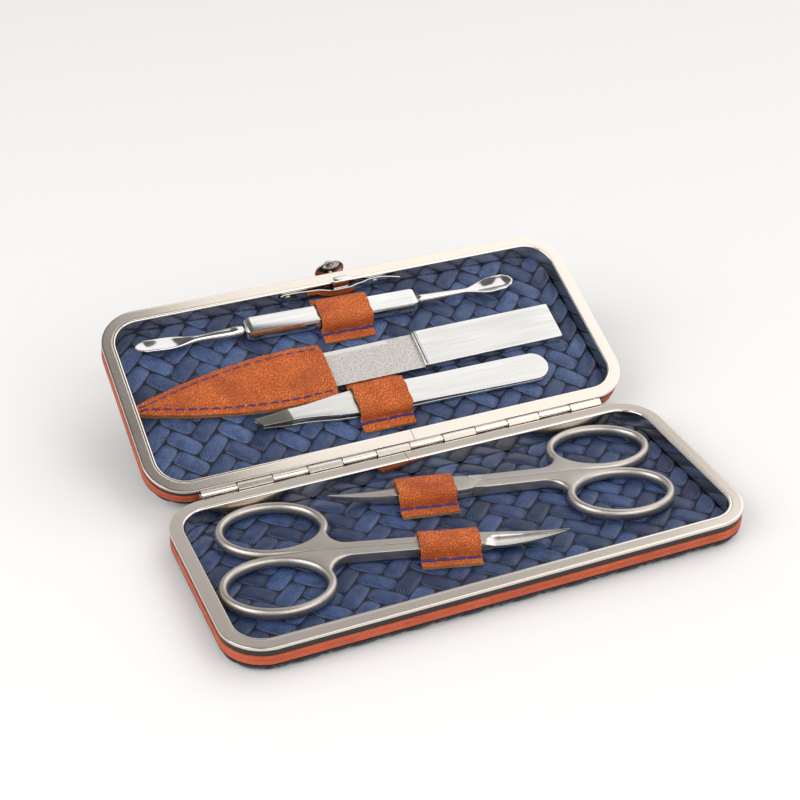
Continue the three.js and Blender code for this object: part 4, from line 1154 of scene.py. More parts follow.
catch_slot = box((-HOOK_MIDDLE - SLOT_HALF, INNER_WALL - FRAME_SHEET, CATCH_SLOT[0]),
                 (-HOOK_MIDDLE + SLOT_HALF, INNER_WALL + 2 * FRAME_SHEET, CATCH_SLOT[1]), 0.2)
cut_away(bpy.data.objects["lower_rim"], catch_slot, lower_tray)
stem_bore = rod(INNER_WALL - FRAME_SHEET, OUTER_WALL + FRAME_SHEET, STEM_RADIUS + STEM_FIT, 40, 0.01, axis=1)
stem_bore = moved(stem_bore, CLASP_X, 0, -CLASP_DEPTH)
cut_away(bpy.data.objects["upper_rim"], stem_bore, upper_tray)
cut_away(bpy.data.objects["upper_shell_wall"], stem_bore, upper_tray)

# %% [markdown]
# ## Padded boards
# Under each lining lies a thin board with felt glued on, which gives the lining its soft
# feel. It is cut to the tray's outline, and it gives when a tool is pressed into its place.

# %% Boards
BOARD_THICKNESS = 0.6
LINING_SHEET = 0.8
BOARD_TOP = -RECESS_DEPTH - LINING_SHEET - SHEET_GAP
BOARD_FOOT = BOARD_TOP - BOARD_THICKNESS
BOARD_INSET = 2.8
board_outline = resampled([outline_point(station, BOARD_INSET) for station in rest_outline], 4)
board_mesh = rounded_plate(board_outline, None, BOARD_FOOT, BOARD_TOP, 0.2, 4)
for tray in ("lower", "upper"):
    pad = add_piece(f"{tray}_felted_board", f"{tray}_case", f"{tray}_padded_board", "board", *board_mesh,
                    trays[tray], [board])
print("boards from", round(BOARD_FOOT, 2), "to", round(BOARD_TOP, 2), "mm, inset", BOARD_INSET)

# %% [markdown]
# ## Leather loops
# Each tool is held by one strap of grained leather, bent over it and stitched down with waxed
# thread before its front flap. A strap is made as a real strip: its middle line is bent round
# the tunnel, thickness is added to both sides, and the cut edges are left pale and a little
# uneven. The stitches are separate short runs of thread that dip into the leather.

# %% Paths


def rounded_path(corners, radii, steps=7):
    """A path through corner points, each corner rounded by its radius."""
    path = [corners[0]]
    for index in range(1, len(corners) - 1):
        radius = radii[index - 1]
        last, corner, following = (Vector(point) for point in corners[index - 1:index + 2])
        before, after = (last - corner).normalized(), (following - corner).normalized()
        half = before.angle(after) / 2
        reach = radius / math.tan(half)
        start, end = corner + before * reach, corner + after * reach
        middle = corner + (before + after).normalized() * (radius / math.sin(half))
        first = math.atan2(start.y - middle.y, start.x - middle.x)
        turn = math.atan2(end.y - middle.y, end.x - middle.x) - first
        turn = (turn + math.pi) % (2 * math.pi) - math.pi
        for step in range(steps + 1):
            angle = first + turn * step / steps
            path.append((middle.x + radius * math.cos(angle), middle.y + radius * math.sin(angle)))
    path.append(corners[-1])
    return path


def filled_path(path, spacing=0.8):
    """The same path with extra points on its long stretches."""
    result = []
    for start, end in zip(path, path[1:]):
        steps = max(1, round(math.dist(start, end) / spacing))
        result += [between(start, end, step / steps) for step in range(steps)]
    return result + [path[-1]]


def path_normals(path):
    """Unit normals to the left of an open path."""
    normals = []
    for index in range(len(path)):
        before, after = path[max(0, index - 1)], path[min(len(path) - 1, index + 1)]
        dx, dy = after[0] - before[0], after[1] - before[1]
        length = math.hypot(dx, dy)
        normals.append((-dy / length, dx / length))
    return normals


# %% Stitches
THREAD = 0.40
STITCH_SINK = 0.28


def tube(points, radius, facets=8):
    """A round thread through points, closed at both ends."""
    rings = []
    for index, point in enumerate(points):
        here = Vector(point)
        ahead = Vector(points[min(index + 1, len(points) - 1)]) - Vector(points[max(index - 1, 0)])
        side = ahead.cross(Vector((0, 0, 1)))
        side = side.normalized() if side.length > 1e-6 else Vector((0, 1, 0))
        up = side.cross(ahead).normalized()
        rings.append([tuple(here + radius * (math.cos(a) * side + math.sin(a) * up))
                      for a in (2 * math.pi * step / facets for step in range(facets))])
    return loft(rings)


def stitch(start, end, radius, lift, sink=STITCH_SINK, steps=9):
    """One stitch: a thread that rises out of the leather at start and dips back in at end."""
    start, end = Vector(start), Vector(end)
    points = []
    for step in range(steps + 1):
        share = step / steps
        arch = math.sin(math.pi * share) ** 0.45
        points.append(tuple(start.lerp(end, share) + Vector((0, 0, -sink + (sink + lift) * arch))))
    return tube(points, radius)


# %% A strap
LOOP_LENGTH = 15.4
REAR_FLAP = 2.2
FOOT_RADIUS, CROWN_RADIUS, CROWN_RISE = 0.8, 12, 0.12
PUFF = 0.05
HALF_SHEET = LEATHER / 2
strap_rows = [-1, -0.994, -0.975, -0.94] + [row / 10 for row in range(-9, 10)] + [0.94, 0.975, 0.994, 1]
strap_thinning = [(0.97, 1), (0.99, 0.985), (0.999, 0.9), (1, 0.72)]   # up to a share of the half length


def strap_path(tunnel_width, tunnel_height, front_flap, shoulder):
    """The strap's middle line, from the end of its front flap over the tunnel to its rear flap."""
    wall = tunnel_width / 2 + HALF_SHEET
    top = tunnel_height + HALF_SHEET
    bend = shoulder + HALF_SHEET
    corners = [(-wall - HALF_SHEET - front_flap, HALF_SHEET), (-wall, HALF_SHEET), (-wall, top),
               (0, top + CROWN_RISE), (wall, top), (wall, HALF_SHEET),
               (wall + HALF_SHEET + REAR_FLAP, HALF_SHEET)]
    return filled_path(rounded_path(corners, [FOOT_RADIUS, bend, CROWN_RADIUS, bend, FOOT_RADIUS]))


def strap(tunnel_width, tunnel_height, front_flap, shoulder, seed):
    """A loop along X, with its front flap towards -Y; returns its mesh and each face's material."""
    chance = random.Random(seed)
    path = strap_path(tunnel_width, tunnel_height, front_flap, shoulder)
    normals = path_normals(path)
    count = len(path)
    waves = [(chance.uniform(0.04, 0.09), chance.uniform(0.5, 1.9), chance.uniform(0, 6)) for _ in range(3)]
    vertices = []
    travelled = [0.0]
    for start, end in zip(path, path[1:]):
        travelled.append(travelled[-1] + math.dist(start, end))
    for row in strap_rows:
        thin = HALF_SHEET * next(share for reach, share in strap_thinning if abs(row) <= reach)
        for side in (1, -1):
            for index in range(count)[::side]:
                at = travelled[index]
                own = 2 if row > 0 else 0
                ragged = sum(size * math.sin(rate * at + phase + own) for size, rate, phase in waves)
                x = row * LOOP_LENGTH / 2 + ragged * abs(row) ** 8
                y, z = path[index]
                ny, nz = normals[index]
                is_arch = 0.1 < at / travelled[-1] < 0.9
                reach = side * thin + (PUFF * math.sin(1.7 * at + 3.1 * row + seed) if is_arch else 0.0)
                vertices.append((x, y + ny * reach, z + nz * reach))
    faces, slots = sheet_faces(len(strap_rows) - 1, count, lambda row, column: column >= count)
    return vertices, faces, slots


# %% A strap's stitches
STITCHES_PER_LOOP = 4
STITCH_GAP, STITCH_OVERHANG = 0.15, 0.1


def loop_stitches(tunnel_width, seed):
    """The stitches lie on the front flap at the arch's foot, and the thread's end hangs over its edge."""
    chance = random.Random(seed)
    y = -(tunnel_width / 2 + LEATHER) - 0.75
    first = -LOOP_LENGTH / 2
    pitch = LOOP_LENGTH / STITCHES_PER_LOOP
    stitches = []
    for index in range(STITCHES_PER_LOOP):
        is_last = index == STITCHES_PER_LOOP - 1
        left = first + index * pitch + (STITCH_GAP if index else -STITCH_OVERHANG)
        right = first + (index + 1) * pitch - (-STITCH_OVERHANG if is_last else STITCH_GAP)
        dy = chance.uniform(-0.2, 0.2)
        stitches.append(stitch((left, y + dy, LEATHER), (right, y - dy, LEATHER), THREAD, 0.12))
    thread_end = [(first - 0.1, y, LEATHER), (first - 0.5, y + 0.1, LEATHER * 0.6),
                  (first - 0.9, y + 0.5, 0.25)]
    stitches.append(tube(thread_end, THREAD * 0.9))
    return joined(*stitches)


# %% Loops
SCISSORS_HEIGHT = 3.1
SCREW_HEAD = 0.35
TWEEZERS_HEIGHT = 3.4
HANDLE_HEIGHT = 4.2
SPACE_UNDER, SPACE_OVER = 0.05, 0.2


def leather_loop(tool, body, tool_frame, along, across, tunnel_width, tool_height, front_flap, shoulder,
                 seed):
    """One tool's strap and its stitches. In the lower tray the front flap lies on the other side."""
    turned_angle = math.pi if body == "lower_case" else 0
    place = tool_frame @ shift(along, across, SHEET_GAP - RECESS_DEPTH) @ turn_z(turned_angle)
    tunnel_height = SPACE_UNDER + tool_height + SPACE_OVER
    vertices, faces, slots = strap(tunnel_width, tunnel_height, front_flap, shoulder, seed)
    add_piece(f"{tool}_strap", body, f"{tool}_loop", "orange_leather", vertices, faces, place,
              [orange_leather, raw_edge], slots, 50)
    add_piece(f"{tool}_strap_stitches", body, None, "orange_leather", *loop_stitches(tunnel_width, seed),
              place, [thread], None, 70)
    print(tool, "loop:", tunnel_width, "mm wide and", round(tunnel_height, 2), "mm high inside")


with_screw = SCISSORS_HEIGHT + SCREW_HEAD
leather_loop("nail_scissors", "lower_case", nail_frame, 1.7, 0.5, 8.2, with_screw, 3.8, 1.7, 1)
leather_loop("cuticle_scissors", "lower_case", cuticle_frame, 2.5, 0.3, 6.4, with_screw, 3, 1.35, 2)
leather_loop("tweezers", "upper_case", tweezers_frame, -8, 0, 9.3, TWEEZERS_HEIGHT, 3.6, 1.1, 3)
leather_loop("cuticle_tool", "upper_case", cleaner_frame, 3.3, 0, 8.2, HANDLE_HEIGHT, 3.6, 1.6, 4)

# %% [markdown]
# ## Sheath of the nail file
# Two layers of the same leather, cut to a pointed arch and sewn together along both long
# edges. The front layer rises over the blade, so its middle is padded and its border flat.

# %% The sheath's shape
SHEATH_TIP_X, SHEATH_MOUTH_X = -66.4, -11.2
SHEATH_WIDTH, SHEATH_TIP_WIDTH = 18.8, 2.4
SHEATH_FULL, SHEATH_FULLNESS = 0.86, 0.85   # where it is widest, and how full the arch is
MOUTH_NARROWING = 0.035
SEAM_BORDER, SEAM_GAP = 1.0, 0.03
BLADE_SHEET, BLADE_GAP = 0.7, 0.12
POCKET_RISE = BLADE_GAP + BLADE_SHEET + BLADE_GAP
sheath_back_low = SHEET_GAP - RECESS_DEPTH
sheath_back_high = sheath_back_low + LEATHER
seam_low = sheath_back_high + SEAM_GAP


def sheath_half(share):
    """Half the width at a share of the length from the tip."""
    rise = math.sin(math.pi / 2 * min(1, share / SHEATH_FULL))
    half = SHEATH_TIP_WIDTH / 2 + (SHEATH_WIDTH - SHEATH_TIP_WIDTH) / 2 * rise ** SHEATH_FULLNESS
    return half * (1 - MOUTH_NARROWING * ease((share - 0.8) / 0.2))


def sheath_x(share):
    """Place along the hinge at a share of the length from the tip."""
    return SHEATH_TIP_X + (SHEATH_MOUTH_X - SHEATH_TIP_X) * share


def pocket_height(share, y):
    """How far the front layer is lifted at a place, more in the middle than at the seams."""
    inside = sheath_half(share) - abs(y) - SEAM_BORDER
    return POCKET_RISE * ease(inside / 2.0) * ease(share / 0.06)


# %% The sheath's two layers
SHEATH_STATIONS = 84
MOUTH_ROUNDING, MOUTH_BULGE = 0.18, 0.25
one_side = [-1, -0.995, -0.975, -0.93, -0.86, -0.78, -0.7, -0.6, -0.48, -0.34, -0.17]
sheath_across = one_side + [0] + [-a for a in reversed(one_side)]


def sheath_layer(is_front):
    """Points, faces and material numbers of one layer. The blade lifts the middle of the front one."""
    vertices = []
    for station in range(SHEATH_STATIONS + 1):
        share = (station / SHEATH_STATIONS) ** 1.25
        half = sheath_half(share) * (1 if station else 0.8)
        rough = 0.05 * math.sin(31 * share) + 0.04 * math.sin(73 * share + 1)
        mouth = MOUTH_ROUNDING if station == SHEATH_STATIONS else 0.0
        top, bottom = [], []
        for a in sheath_across:
            x, y = sheath_x(share), a * (half + rough * abs(a))
            thin = 0.13 if abs(a) == 1 else 0.05 if abs(a) > 0.99 else 0.0
            base, sway = sheath_back_low, 0.0
            if is_front:
                base, sway = seam_low + pocket_height(share, y), 0.04 * math.sin(9 * share + 2 * a)
                x += MOUTH_BULGE * (1 - a * a) if station > SHEATH_STATIONS - 4 else 0
            top.append((x, y, base + LEATHER - thin - mouth * 0.5 + sway))
            bottom.append((x, y, base + thin * 0.4 + sway * 0.5))
        vertices += top + bottom[::-1]
    count = len(sheath_across)
    faces, slots = sheet_faces(SHEATH_STATIONS, count, lambda row, column: column >= count)
    return vertices, faces, slots


for layer, is_front in (("back", False), ("front", True)):
    vertices, faces, slots = sheath_layer(is_front)
    add_piece(f"sheath_{layer}_leather", "upper_case", f"sheath_{layer}_layer", "orange_leather", vertices,
              faces, file_frame, [orange_leather, raw_edge], slots, 50)
    print(layer, "layer:", len(vertices), "points")

# %% The sheath's stitches
SHEATH_STITCH, SHEATH_STITCH_GAP, SHEATH_STITCH_INSET, SHEATH_THREAD = 2.35, 0.75, 1.75, 0.23
SEWN_FROM, SEWN_SHARE = 0.012, 0.965
SEAM_POINTS = 400


def seam_line(side):
    """The line along one long edge of the front layer on which the thread lies."""
    line = []
    for step in range(SEAM_POINTS):
        share = SEWN_FROM + SEWN_SHARE * step / (SEAM_POINTS - 1)
        half = max(0.2, sheath_half(share) - SHEATH_STITCH_INSET * ease(share / 0.05 + 0.3))
        line.append((sheath_x(share), side * half, seam_low + pocket_height(share, half) + LEATHER))
    return line


def sheath_stitches():
    """Even stitches with gaps between them along both seams."""
    stitches = []
    for side in (1, -1):
        line = seam_line(side)
        travelled, start, thread_on = 0.0, line[0], True
        for before, after in zip(line, line[1:]):
            travelled += math.dist(before, after)
            if travelled < (SHEATH_STITCH if thread_on else SHEATH_STITCH_GAP):
                continue
            if thread_on:
                stitches.append(stitch(start, after, SHEATH_THREAD, 0.07, 0.24))
            start, travelled, thread_on = after, 0.0, not thread_on
    return joined(*stitches)


add_piece("sheath_stitches", "upper_case", None, "orange_leather", *sheath_stitches(), file_frame, [thread],
          None, 70)

# %% [markdown]
# ## Nail file
# A flat steel blade, rough on its face and bare along one edge, is pressed into a hollow flat
# handle with two fine lips at its mouth. Both are long bars whose section hardly changes, so
# they are made from sections set one behind the other.

# %% Bars from sections


def slab_ring(x, side, half, low, high, radius=0.2, corner_steps=4, flats=5, slant=0.0, crown=0.0):
    """A flat bar's section at x: rounded corners, and flats points across its top and bottom."""
    radius = min(radius, 0.98 * half, 0.49 * (high - low))
    ring = []
    for cy, cz, start in ((half - radius, high - radius, 0), (radius - half, high - radius, 90),
                          (radius - half, low + radius, 180), (half - radius, low + radius, 270)):
        for step in range(corner_steps + 1):
            angle = math.radians(start + 90 * step / corner_steps)
            ring.append((cy + radius * math.cos(angle), cz + radius * math.sin(angle)))
        if start in (0, 180):
            sign = 1 if start == 0 else -1
            for step in range(1, flats + 1):
                share = step / (flats + 1)
                ring.append((sign * (half - radius) * (1 - 2 * share), high if start == 0 else low))
    points = []
    for y, z in ring:
        lift = crown * (1 - (y / half) ** 2) if z > (low + high) / 2 else 0.0
        points.append((x + slant * y / half, side + y, z + lift))
    return points


# %% File blade
FILE_HANDLE_X = 16.3
BLADE_WIDTH, BLADE_TIP_HALF = 12, 0.5
BLADE_TIP_X, POINT_LENGTH = -52, 34
BLADE_STATIONS = 60
BARE_COLUMNS = (8, 9, 10)       # the edges of blade_across beyond 0.735
BARE_UP_TO_X = 8.4
blade_across = [-1, -0.985, -0.95, -0.6, -0.2, 0.2, 0.55, 0.72, 0.735, 0.95, 0.985, 1]
blade_middle = sheath_back_high + BLADE_GAP + BLADE_SHEET / 2


def is_bare_steel(row, column):
    """A strip along the blade's far edge is bare, but not next to the handle."""
    middle_x = BLADE_TIP_X + (FILE_HANDLE_X - BLADE_TIP_X) * (row + 0.5) / BLADE_STATIONS
    return column in BARE_COLUMNS and middle_x < BARE_UP_TO_X


def file_blade():
    """Points, faces and material numbers of the blade, which narrows to a rounded point."""
    vertices = []
    for station in range(BLADE_STATIONS + 1):
        x = BLADE_TIP_X + (FILE_HANDLE_X + 0.2 - BLADE_TIP_X) * station / BLADE_STATIONS
        rise = math.sin(math.pi / 2 * min(1, (x - BLADE_TIP_X) / POINT_LENGTH))
        half = BLADE_TIP_HALF + (BLADE_WIDTH / 2 - BLADE_TIP_HALF) * rise
        for side in (1, -1):
            for a in blade_across[::side]:
                thin = 0.12 if abs(a) == 1 else 0.04 if abs(a) > 0.98 else 0.0
                vertices.append((x, a * half, blade_middle + side * (BLADE_SHEET / 2 - thin)))
    faces, slots = sheet_faces(BLADE_STATIONS, len(blade_across), is_bare_steel)
    return vertices, faces, slots


vertices, faces, slots = file_blade()
add_piece("file_blade_plate", "nail_file", "nail_file_blade", "file_grit", vertices, faces, file_frame,
          [file_grit, ground_steel], slots, 40)
print("blade:", slots.count(1), "of", len(slots), "faces are bare steel")

# %% File handle
FILE_HANDLE_LENGTH, FILE_HANDLE_WIDTH, FILE_HANDLE_HEIGHT = 44.2, 12.5, 2.8
HANDLE_ROUNDING = 0.42
# Distance from the mouth, and how much the section is drawn in there: two fine lips lie near the mouth
handle_stations = [(0, 0.5), (0.06, 0.3), (0.16, 0.22), (0.42, 0.22), (0.5, 0.05), (0.6, 0), (0.95, 0),
                   (1.0, 0.04), (1.04, 0.16), (1.22, 0.16), (1.26, 0.04), (1.32, 0), (6, 0), (20, 0), (34, 0),
                   (43.4, 0), (43.75, 0.04), (44.0, 0.14), (44.15, 0.3), (FILE_HANDLE_LENGTH, 0.5)]
rings = []
for x, inset in handle_stations:
    foot = blade_middle - FILE_HANDLE_HEIGHT / 2 + inset
    peak = blade_middle + FILE_HANDLE_HEIGHT / 2 - inset
    half = FILE_HANDLE_WIDTH / 2 - inset
    rings.append(slab_ring(FILE_HANDLE_X + x, 0, half, foot, peak, HANDLE_ROUNDING, 5, 3))
add_piece("file_handle_sleeve", "nail_file", "nail_file_handle", "handle_metal", *loft(rings), file_frame,
          [handle_metal], None, 32)
print("blade and handle are", round(FILE_HANDLE_X + FILE_HANDLE_LENGTH - BLADE_TIP_X, 1), "mm long together")

# %% [markdown]
# ## Tweezers
# Two sprung arms, stamped from strip and joined at the rounded end. The arms are widest at
# the joined end and ground to a slanted, bevelled tip, which is darker than the brushed
# flats. Each arm is a bar whose width, height and bow follow the stamped blank.

# %% Tweezers' arms
TWEEZERS_LENGTH = 87.4
ARM_SHEET, ARM_SPREAD, ARM_JOINT, BEVEL = 0.9, 0.8, 9, 9
TIP_GAP, JOINT_GAP, END_RADIUS = 0.45, 0.03, 4.45
BEVEL_ROWS, ARM_ROWS, END_ROWS = 12, 46, 16
END_SHARE = 0.06        # the share of the length that has the end's close rows
bevel_share = BEVEL / TWEEZERS_LENGTH
arm_widths = [(0, 2.9), (0.11, 3.9), (0.33, 7.7), (0.52, 8.1), (0.9, 8.9), (1, 8.9)]
arm_gaps = [(0, TIP_GAP), (bevel_share, ARM_SPREAD), (1 - ARM_JOINT / TWEEZERS_LENGTH, JOINT_GAP),
            (1, JOINT_GAP)]
arm_shares = [bevel_share * row / BEVEL_ROWS for row in range(BEVEL_ROWS + 1)] + [bevel_share + 0.0012]
arm_shares += [bevel_share + (1 - END_SHARE - bevel_share) * row / ARM_ROWS for row in range(1, ARM_ROWS + 1)]
arm_shares += [1 - END_SHARE * (1 - math.sin(math.pi / 2 * row / END_ROWS)) for row in range(1, END_ROWS + 1)]


def tweezers_arm(is_upper):
    """Points, faces and material numbers of one arm, tip first; its first rows are the ground bevel."""
    rings = []
    middle = ARM_SPREAD + ARM_SHEET
    for share in arm_shares:
        x = TWEEZERS_LENGTH * share - TWEEZERS_LENGTH / 2
        past = max(0.0, x - (TWEEZERS_LENGTH / 2 - END_RADIUS)) / END_RADIUS
        half = along_stops(arm_widths, share) / 2 * math.sqrt(max(0.004, 1 - past * past))
        ground = max(0.0, 1 - share / bevel_share)
        sheet = ARM_SHEET * (1 - 0.62 * ground)
        slant = -1.0 * (1 - ease(share / bevel_share)) - 0.35 * ease(1 - abs(share - bevel_share) / 0.03)
        low = middle + along_stops(arm_gaps, share)
        high = low + sheet
        if not is_upper:
            low, high = 2 * middle - high, 2 * middle - low
        rings.append(slab_ring(x, 0, half, low, high, 0.16, 4, 5, slant, 0.05 if is_upper else 0.0))
    vertices, faces = loft(rings)
    bevel_faces = BEVEL_ROWS * len(rings[0])
    slots = [1] * bevel_faces + [0] * (len(faces) - 2 - bevel_faces) + [1, 0]
    return vertices, faces, slots


for word, is_upper, body in (("upper", True, "tweezers_top"), ("lower", False, "tweezers")):
    vertices, faces, slots = tweezers_arm(is_upper)
    add_piece(f"tweezers_{word}_blade", body, f"tweezers_{word}_arm", "tweezers_steel", vertices, faces,
              tweezers_frame @ shift(0, 0, TOOL_FLOOR), [brushed_steel, tip_steel], slots, 25)
    print(word, "arm:", len(arm_shares), "rows")

# %% [markdown]
# ## Double-ended cuticle tool
# A polished six-sided handle with rounded-off ends carries a pusher on the left and a spoon
# on the right, both forged thin from round wire and hollowed on top.

# %% Handle
HANDLE_LENGTH, HANDLE_WIDTH, HANDLE_TOP = 52.6, 7, 5.4
SIDE_EDGE = -0.7        # height of the two side edges over the bar's middle
END_ROUNDING, END_INSET, END_STEPS = 2.1, 1.6, 9


def six_sided(x, inset, corner=0.17):
    """The handle's section, with each of its six edges slightly rounded."""
    side, top = HANDLE_WIDTH / 2 - inset, HANDLE_TOP / 2 - 0.85 * inset
    high, low = HANDLE_HEIGHT / 2 - 0.62 * inset, SIDE_EDGE * (1 - inset / 2)
    corners = [(side, low), (top, high), (-top, high), (-side, low), (-top, -high), (top, -high)]
    ring = []
    for index, point in enumerate(corners):
        here = Vector(point)
        before = (Vector(corners[index - 1]) - here).normalized() * corner
        after = (Vector(corners[(index + 1) % 6]) - here).normalized() * corner
        for t in (0, 0.5, 1):
            bent = (here + before) * (1 - t) ** 2 + here * 2 * t * (1 - t) + (here + after) * t ** 2
            ring.append((x, bent.x, bent.y))
    return ring


half_handle = HANDLE_LENGTH / 2
end_angles = [math.pi / 2 * (step / END_STEPS) for step in range(END_STEPS + 1)]
end_chamfer = [(END_ROUNDING * (1 - math.cos(a)), END_INSET * (1 - math.sin(a))) for a in end_angles]
handle_profile = [(-half_handle + x, inset) for x, inset in end_chamfer]
handle_profile += [(half_handle - x, inset) for x, inset in reversed(end_chamfer)]
cleaner_place = cleaner_frame @ shift(0, 0, TOOL_FLOOR + HANDLE_HEIGHT / 2)
add_piece("cuticle_handle_bar", "cuticle_tool", "cuticle_tool_handle", "handle_metal",
          *loft([six_sided(x, inset) for x, inset in handle_profile]), cleaner_place, [tool_handle_metal],
          None, 28)
print("handle is", HANDLE_LENGTH, "mm long")

# %% Pusher and spoon
# Stops are (share of the length from the handle, value).
pusher = {
    "length": 31.4,
    "widths": [(0, 2.2), (0.02, 3.1), (0.06, 3.4), (0.12, 3.2), (0.4, 2.2), (0.72, 4.4), (0.9, 4.0),
               (0.97, 2.6), (1, 0.9)],
    "heights": [(0, 2.2), (0.02, 2.9), (0.07, 3.1), (0.13, 2.5), (0.45, 1.7), (0.75, 1.1), (1, 0.5)],
    "rises": [(0, 0), (0.5, 0), (1, 0.7)],
    "hollows": [(0, 0), (0.45, 0), (0.66, 0.34), (0.9, 0.34), (1, 0.1)],
}
spoon = {
    "length": 30.6,
    "widths": [(0, 2.2), (0.03, 2.9), (0.12, 2.6), (0.5, 1.7), (0.78, 5.6), (0.9, 5.4), (0.97, 3.6),
               (1, 1.1)],
    "heights": [(0, 2.0), (0.03, 2.7), (0.14, 2.3), (0.5, 1.5), (0.8, 1.5), (1, 0.7)],
    "rises": [(0, 0), (0.5, 0), (1, 1.5)],
    "hollows": [(0, 0), (0.5, 0), (0.7, 0.85), (0.9, 0.85), (1, 0.1)],
}


TIP_STATIONS, TIP_CROWDING = 8, 1.35    # the last stations lie closer together
SCOOP_WIDTH, BACK_SHARE = 0.86, 0.35


def forged_share(station, stations):
    """Share of the length at a station."""
    left = 1 - station / stations
    if station < stations - TIP_STATIONS:
        return 1 - left
    return 1 - left ** TIP_CROWDING * (TIP_STATIONS / stations) ** (1 - TIP_CROWDING)


def forged_end(size, facets=32, stations=72):
    """A round bar that is forged flat towards its tip and hollowed on top."""
    rings = []
    for station in range(stations + 1):
        share = forged_share(station, stations)
        x = half_handle + 0.1 + size["length"] * share
        half_width = along_stops(size["widths"], share) / 2
        half_height = along_stops(size["heights"], share) / 2
        rise, hollow = along_stops(size["rises"], share), along_stops(size["hollows"], share)
        ring = []
        for step in range(facets):
            angle = 2 * math.pi * step / facets
            y, z = math.cos(angle), math.sin(angle)
            on_top = hollow * max(0.0, 1 - (y / SCOOP_WIDTH) ** 2)
            below = hollow * BACK_SHARE * max(0.0, 1 - y * y)
            ring.append((x, y * half_width, rise + z * half_height - (on_top if z > 0 else below)))
        rings.append(ring)
    return loft(rings)


add_piece("pusher_blade", "cuticle_tool", "cuticle_tool_pusher", "bright_steel", *forged_end(pusher),
          cleaner_place @ turn_z(math.pi), [chrome], None, 60)
add_piece("spoon_blade", "cuticle_tool", "cuticle_tool_spoon", "bright_steel", *forged_end(spoon),
          cleaner_place, [chrome], None, 60)
print("cuticle tool is", round(HANDLE_LENGTH + pusher["length"] + spoon["length"], 1), "mm long")

# %% [markdown]
# ## Nail and cuticle scissors
# Each pair is forged in two crossing halves. From the pivot plate a half runs back as a flat
# shank into an oval ring, and forward as a blade that is half as thick, so that the two
# blades lie over each other. The rings are rounded by forging, the flats are blasted satin,
# and the V where plate meets shank and the blades' facets are ground bright. One outline per
# half, with an edge radius that changes from place to place, gives the forged shape.

# %% Sizes of the two pairs; x runs from the pivot towards the rings
RING_BAR, RING_LONG, RING_GAP = 2.4, 14.6, 0.08
HEEL_X, PLATE_HEEL = -10.8, 4
PLATE_CUT = 4.4         # the plate ends here, under the strap, and the blade goes on
THICK = SCISSORS_HEIGHT / 2
PLATE_TOP = THICK - 0.07
HALF_GAP = 0.03
nail = {
    "shank": 2.65, "plate": 3.1, "blade": 1.9, "blade_side": -0.3, "tip_side": 0.6, "tip_rise": 1.2,
    "blade_length": 27.4, "ring_distance": 49.2, "ring_spread": 10.58, "plate_end": 8, "shoulder": 10.8,
    "point": 13.7, "hollow_from": None,
}
cuticle = {
    "shank": 2.45, "plate": 2.5, "blade": 2.2, "blade_side": 0.3, "tip_side": 0.2, "tip_rise": 1.8,
    "blade_length": 28.6, "ring_distance": 46.4, "ring_spread": 11.3, "plate_end": 4, "shoulder": 6,
    "point": 8.8, "hollow_from": -6.6,
}
for size in (nail, cuticle):
    size["ring_start"] = size["ring_distance"] - RING_LONG
    print("scissors of", size["blade_length"] + size["ring_distance"] + RING_LONG, "mm")

# %% Runs of points


def curve(start, control, end, steps=14):
    """Points of a curve pulled towards a control point."""
    return [tuple((1 - t) ** 2 * a + 2 * t * (1 - t) * b + t * t * c for a, b, c in zip(start, control, end))
            for t in (step / steps for step in range(steps + 1))]


def first_hit(origin, angle, run):
    """Distance from a point, in a direction, to the first stretch of a run of points that it meets."""
    dx, dy = math.cos(angle), math.sin(angle)
    best = None
    for (ax, ay), (bx, by) in zip(run, run[1:]):
        ex, ey = bx - ax, by - ay
        cross = dx * ey - dy * ex
        if abs(cross) < 1e-9:
            continue
        reach = ((ax - origin[0]) * ey - (ay - origin[1]) * ex) / cross
        share = ((ax - origin[0]) * dy - (ay - origin[1]) * dx) / cross
        if reach > 0 and 0 <= share <= 1 and (best is None or reach < best):
            best = reach
    return best


# %% Outline of one half: along the seam, round the ring, and back along the shank
SEAM_STEPS, RING_STEPS, SHANK_STEPS, HOLE_STEPS = 30, 110, 16, 120
SMOOTHINGS = 3


def ring_touch(size):
    """Where the ring runs over into the shank."""
    return size["ring_start"] + RING_LONG * 0.05, size["ring_spread"] * 0.72


def outer_run(size):
    """The outside of one half's shank and ring, against the clock."""
    ring_start, shank = size["ring_start"], size["shank"]
    centre = (size["ring_distance"], size["ring_spread"])
    short = size["ring_spread"] - RING_GAP
    touch = ring_touch(size)
    seam_length = size["ring_distance"] - size["point"]
    run = [(size["point"] + seam_length * step / SEAM_STEPS, RING_GAP) for step in range(SEAM_STEPS)]
    leave = math.atan2((touch[1] - centre[1]) / short, (touch[0] - centre[0]) / RING_LONG) % (2 * math.pi)
    start = -math.pi / 2
    for step in range(RING_STEPS + 1):
        angle = start + (leave - start) * step / RING_STEPS
        run.append((centre[0] + RING_LONG * math.cos(angle), centre[1] + short * math.sin(angle)))
    run += curve(touch, (ring_start, shank * 1.25), (ring_start - RING_LONG * 0.3, shank * 1.06))[1:]
    last, shoulder = run[-1], (size["shoulder"], RING_GAP + shank)
    return run + [between(last, shoulder, step / SHANK_STEPS) for step in range(1, SHANK_STEPS + 1)]


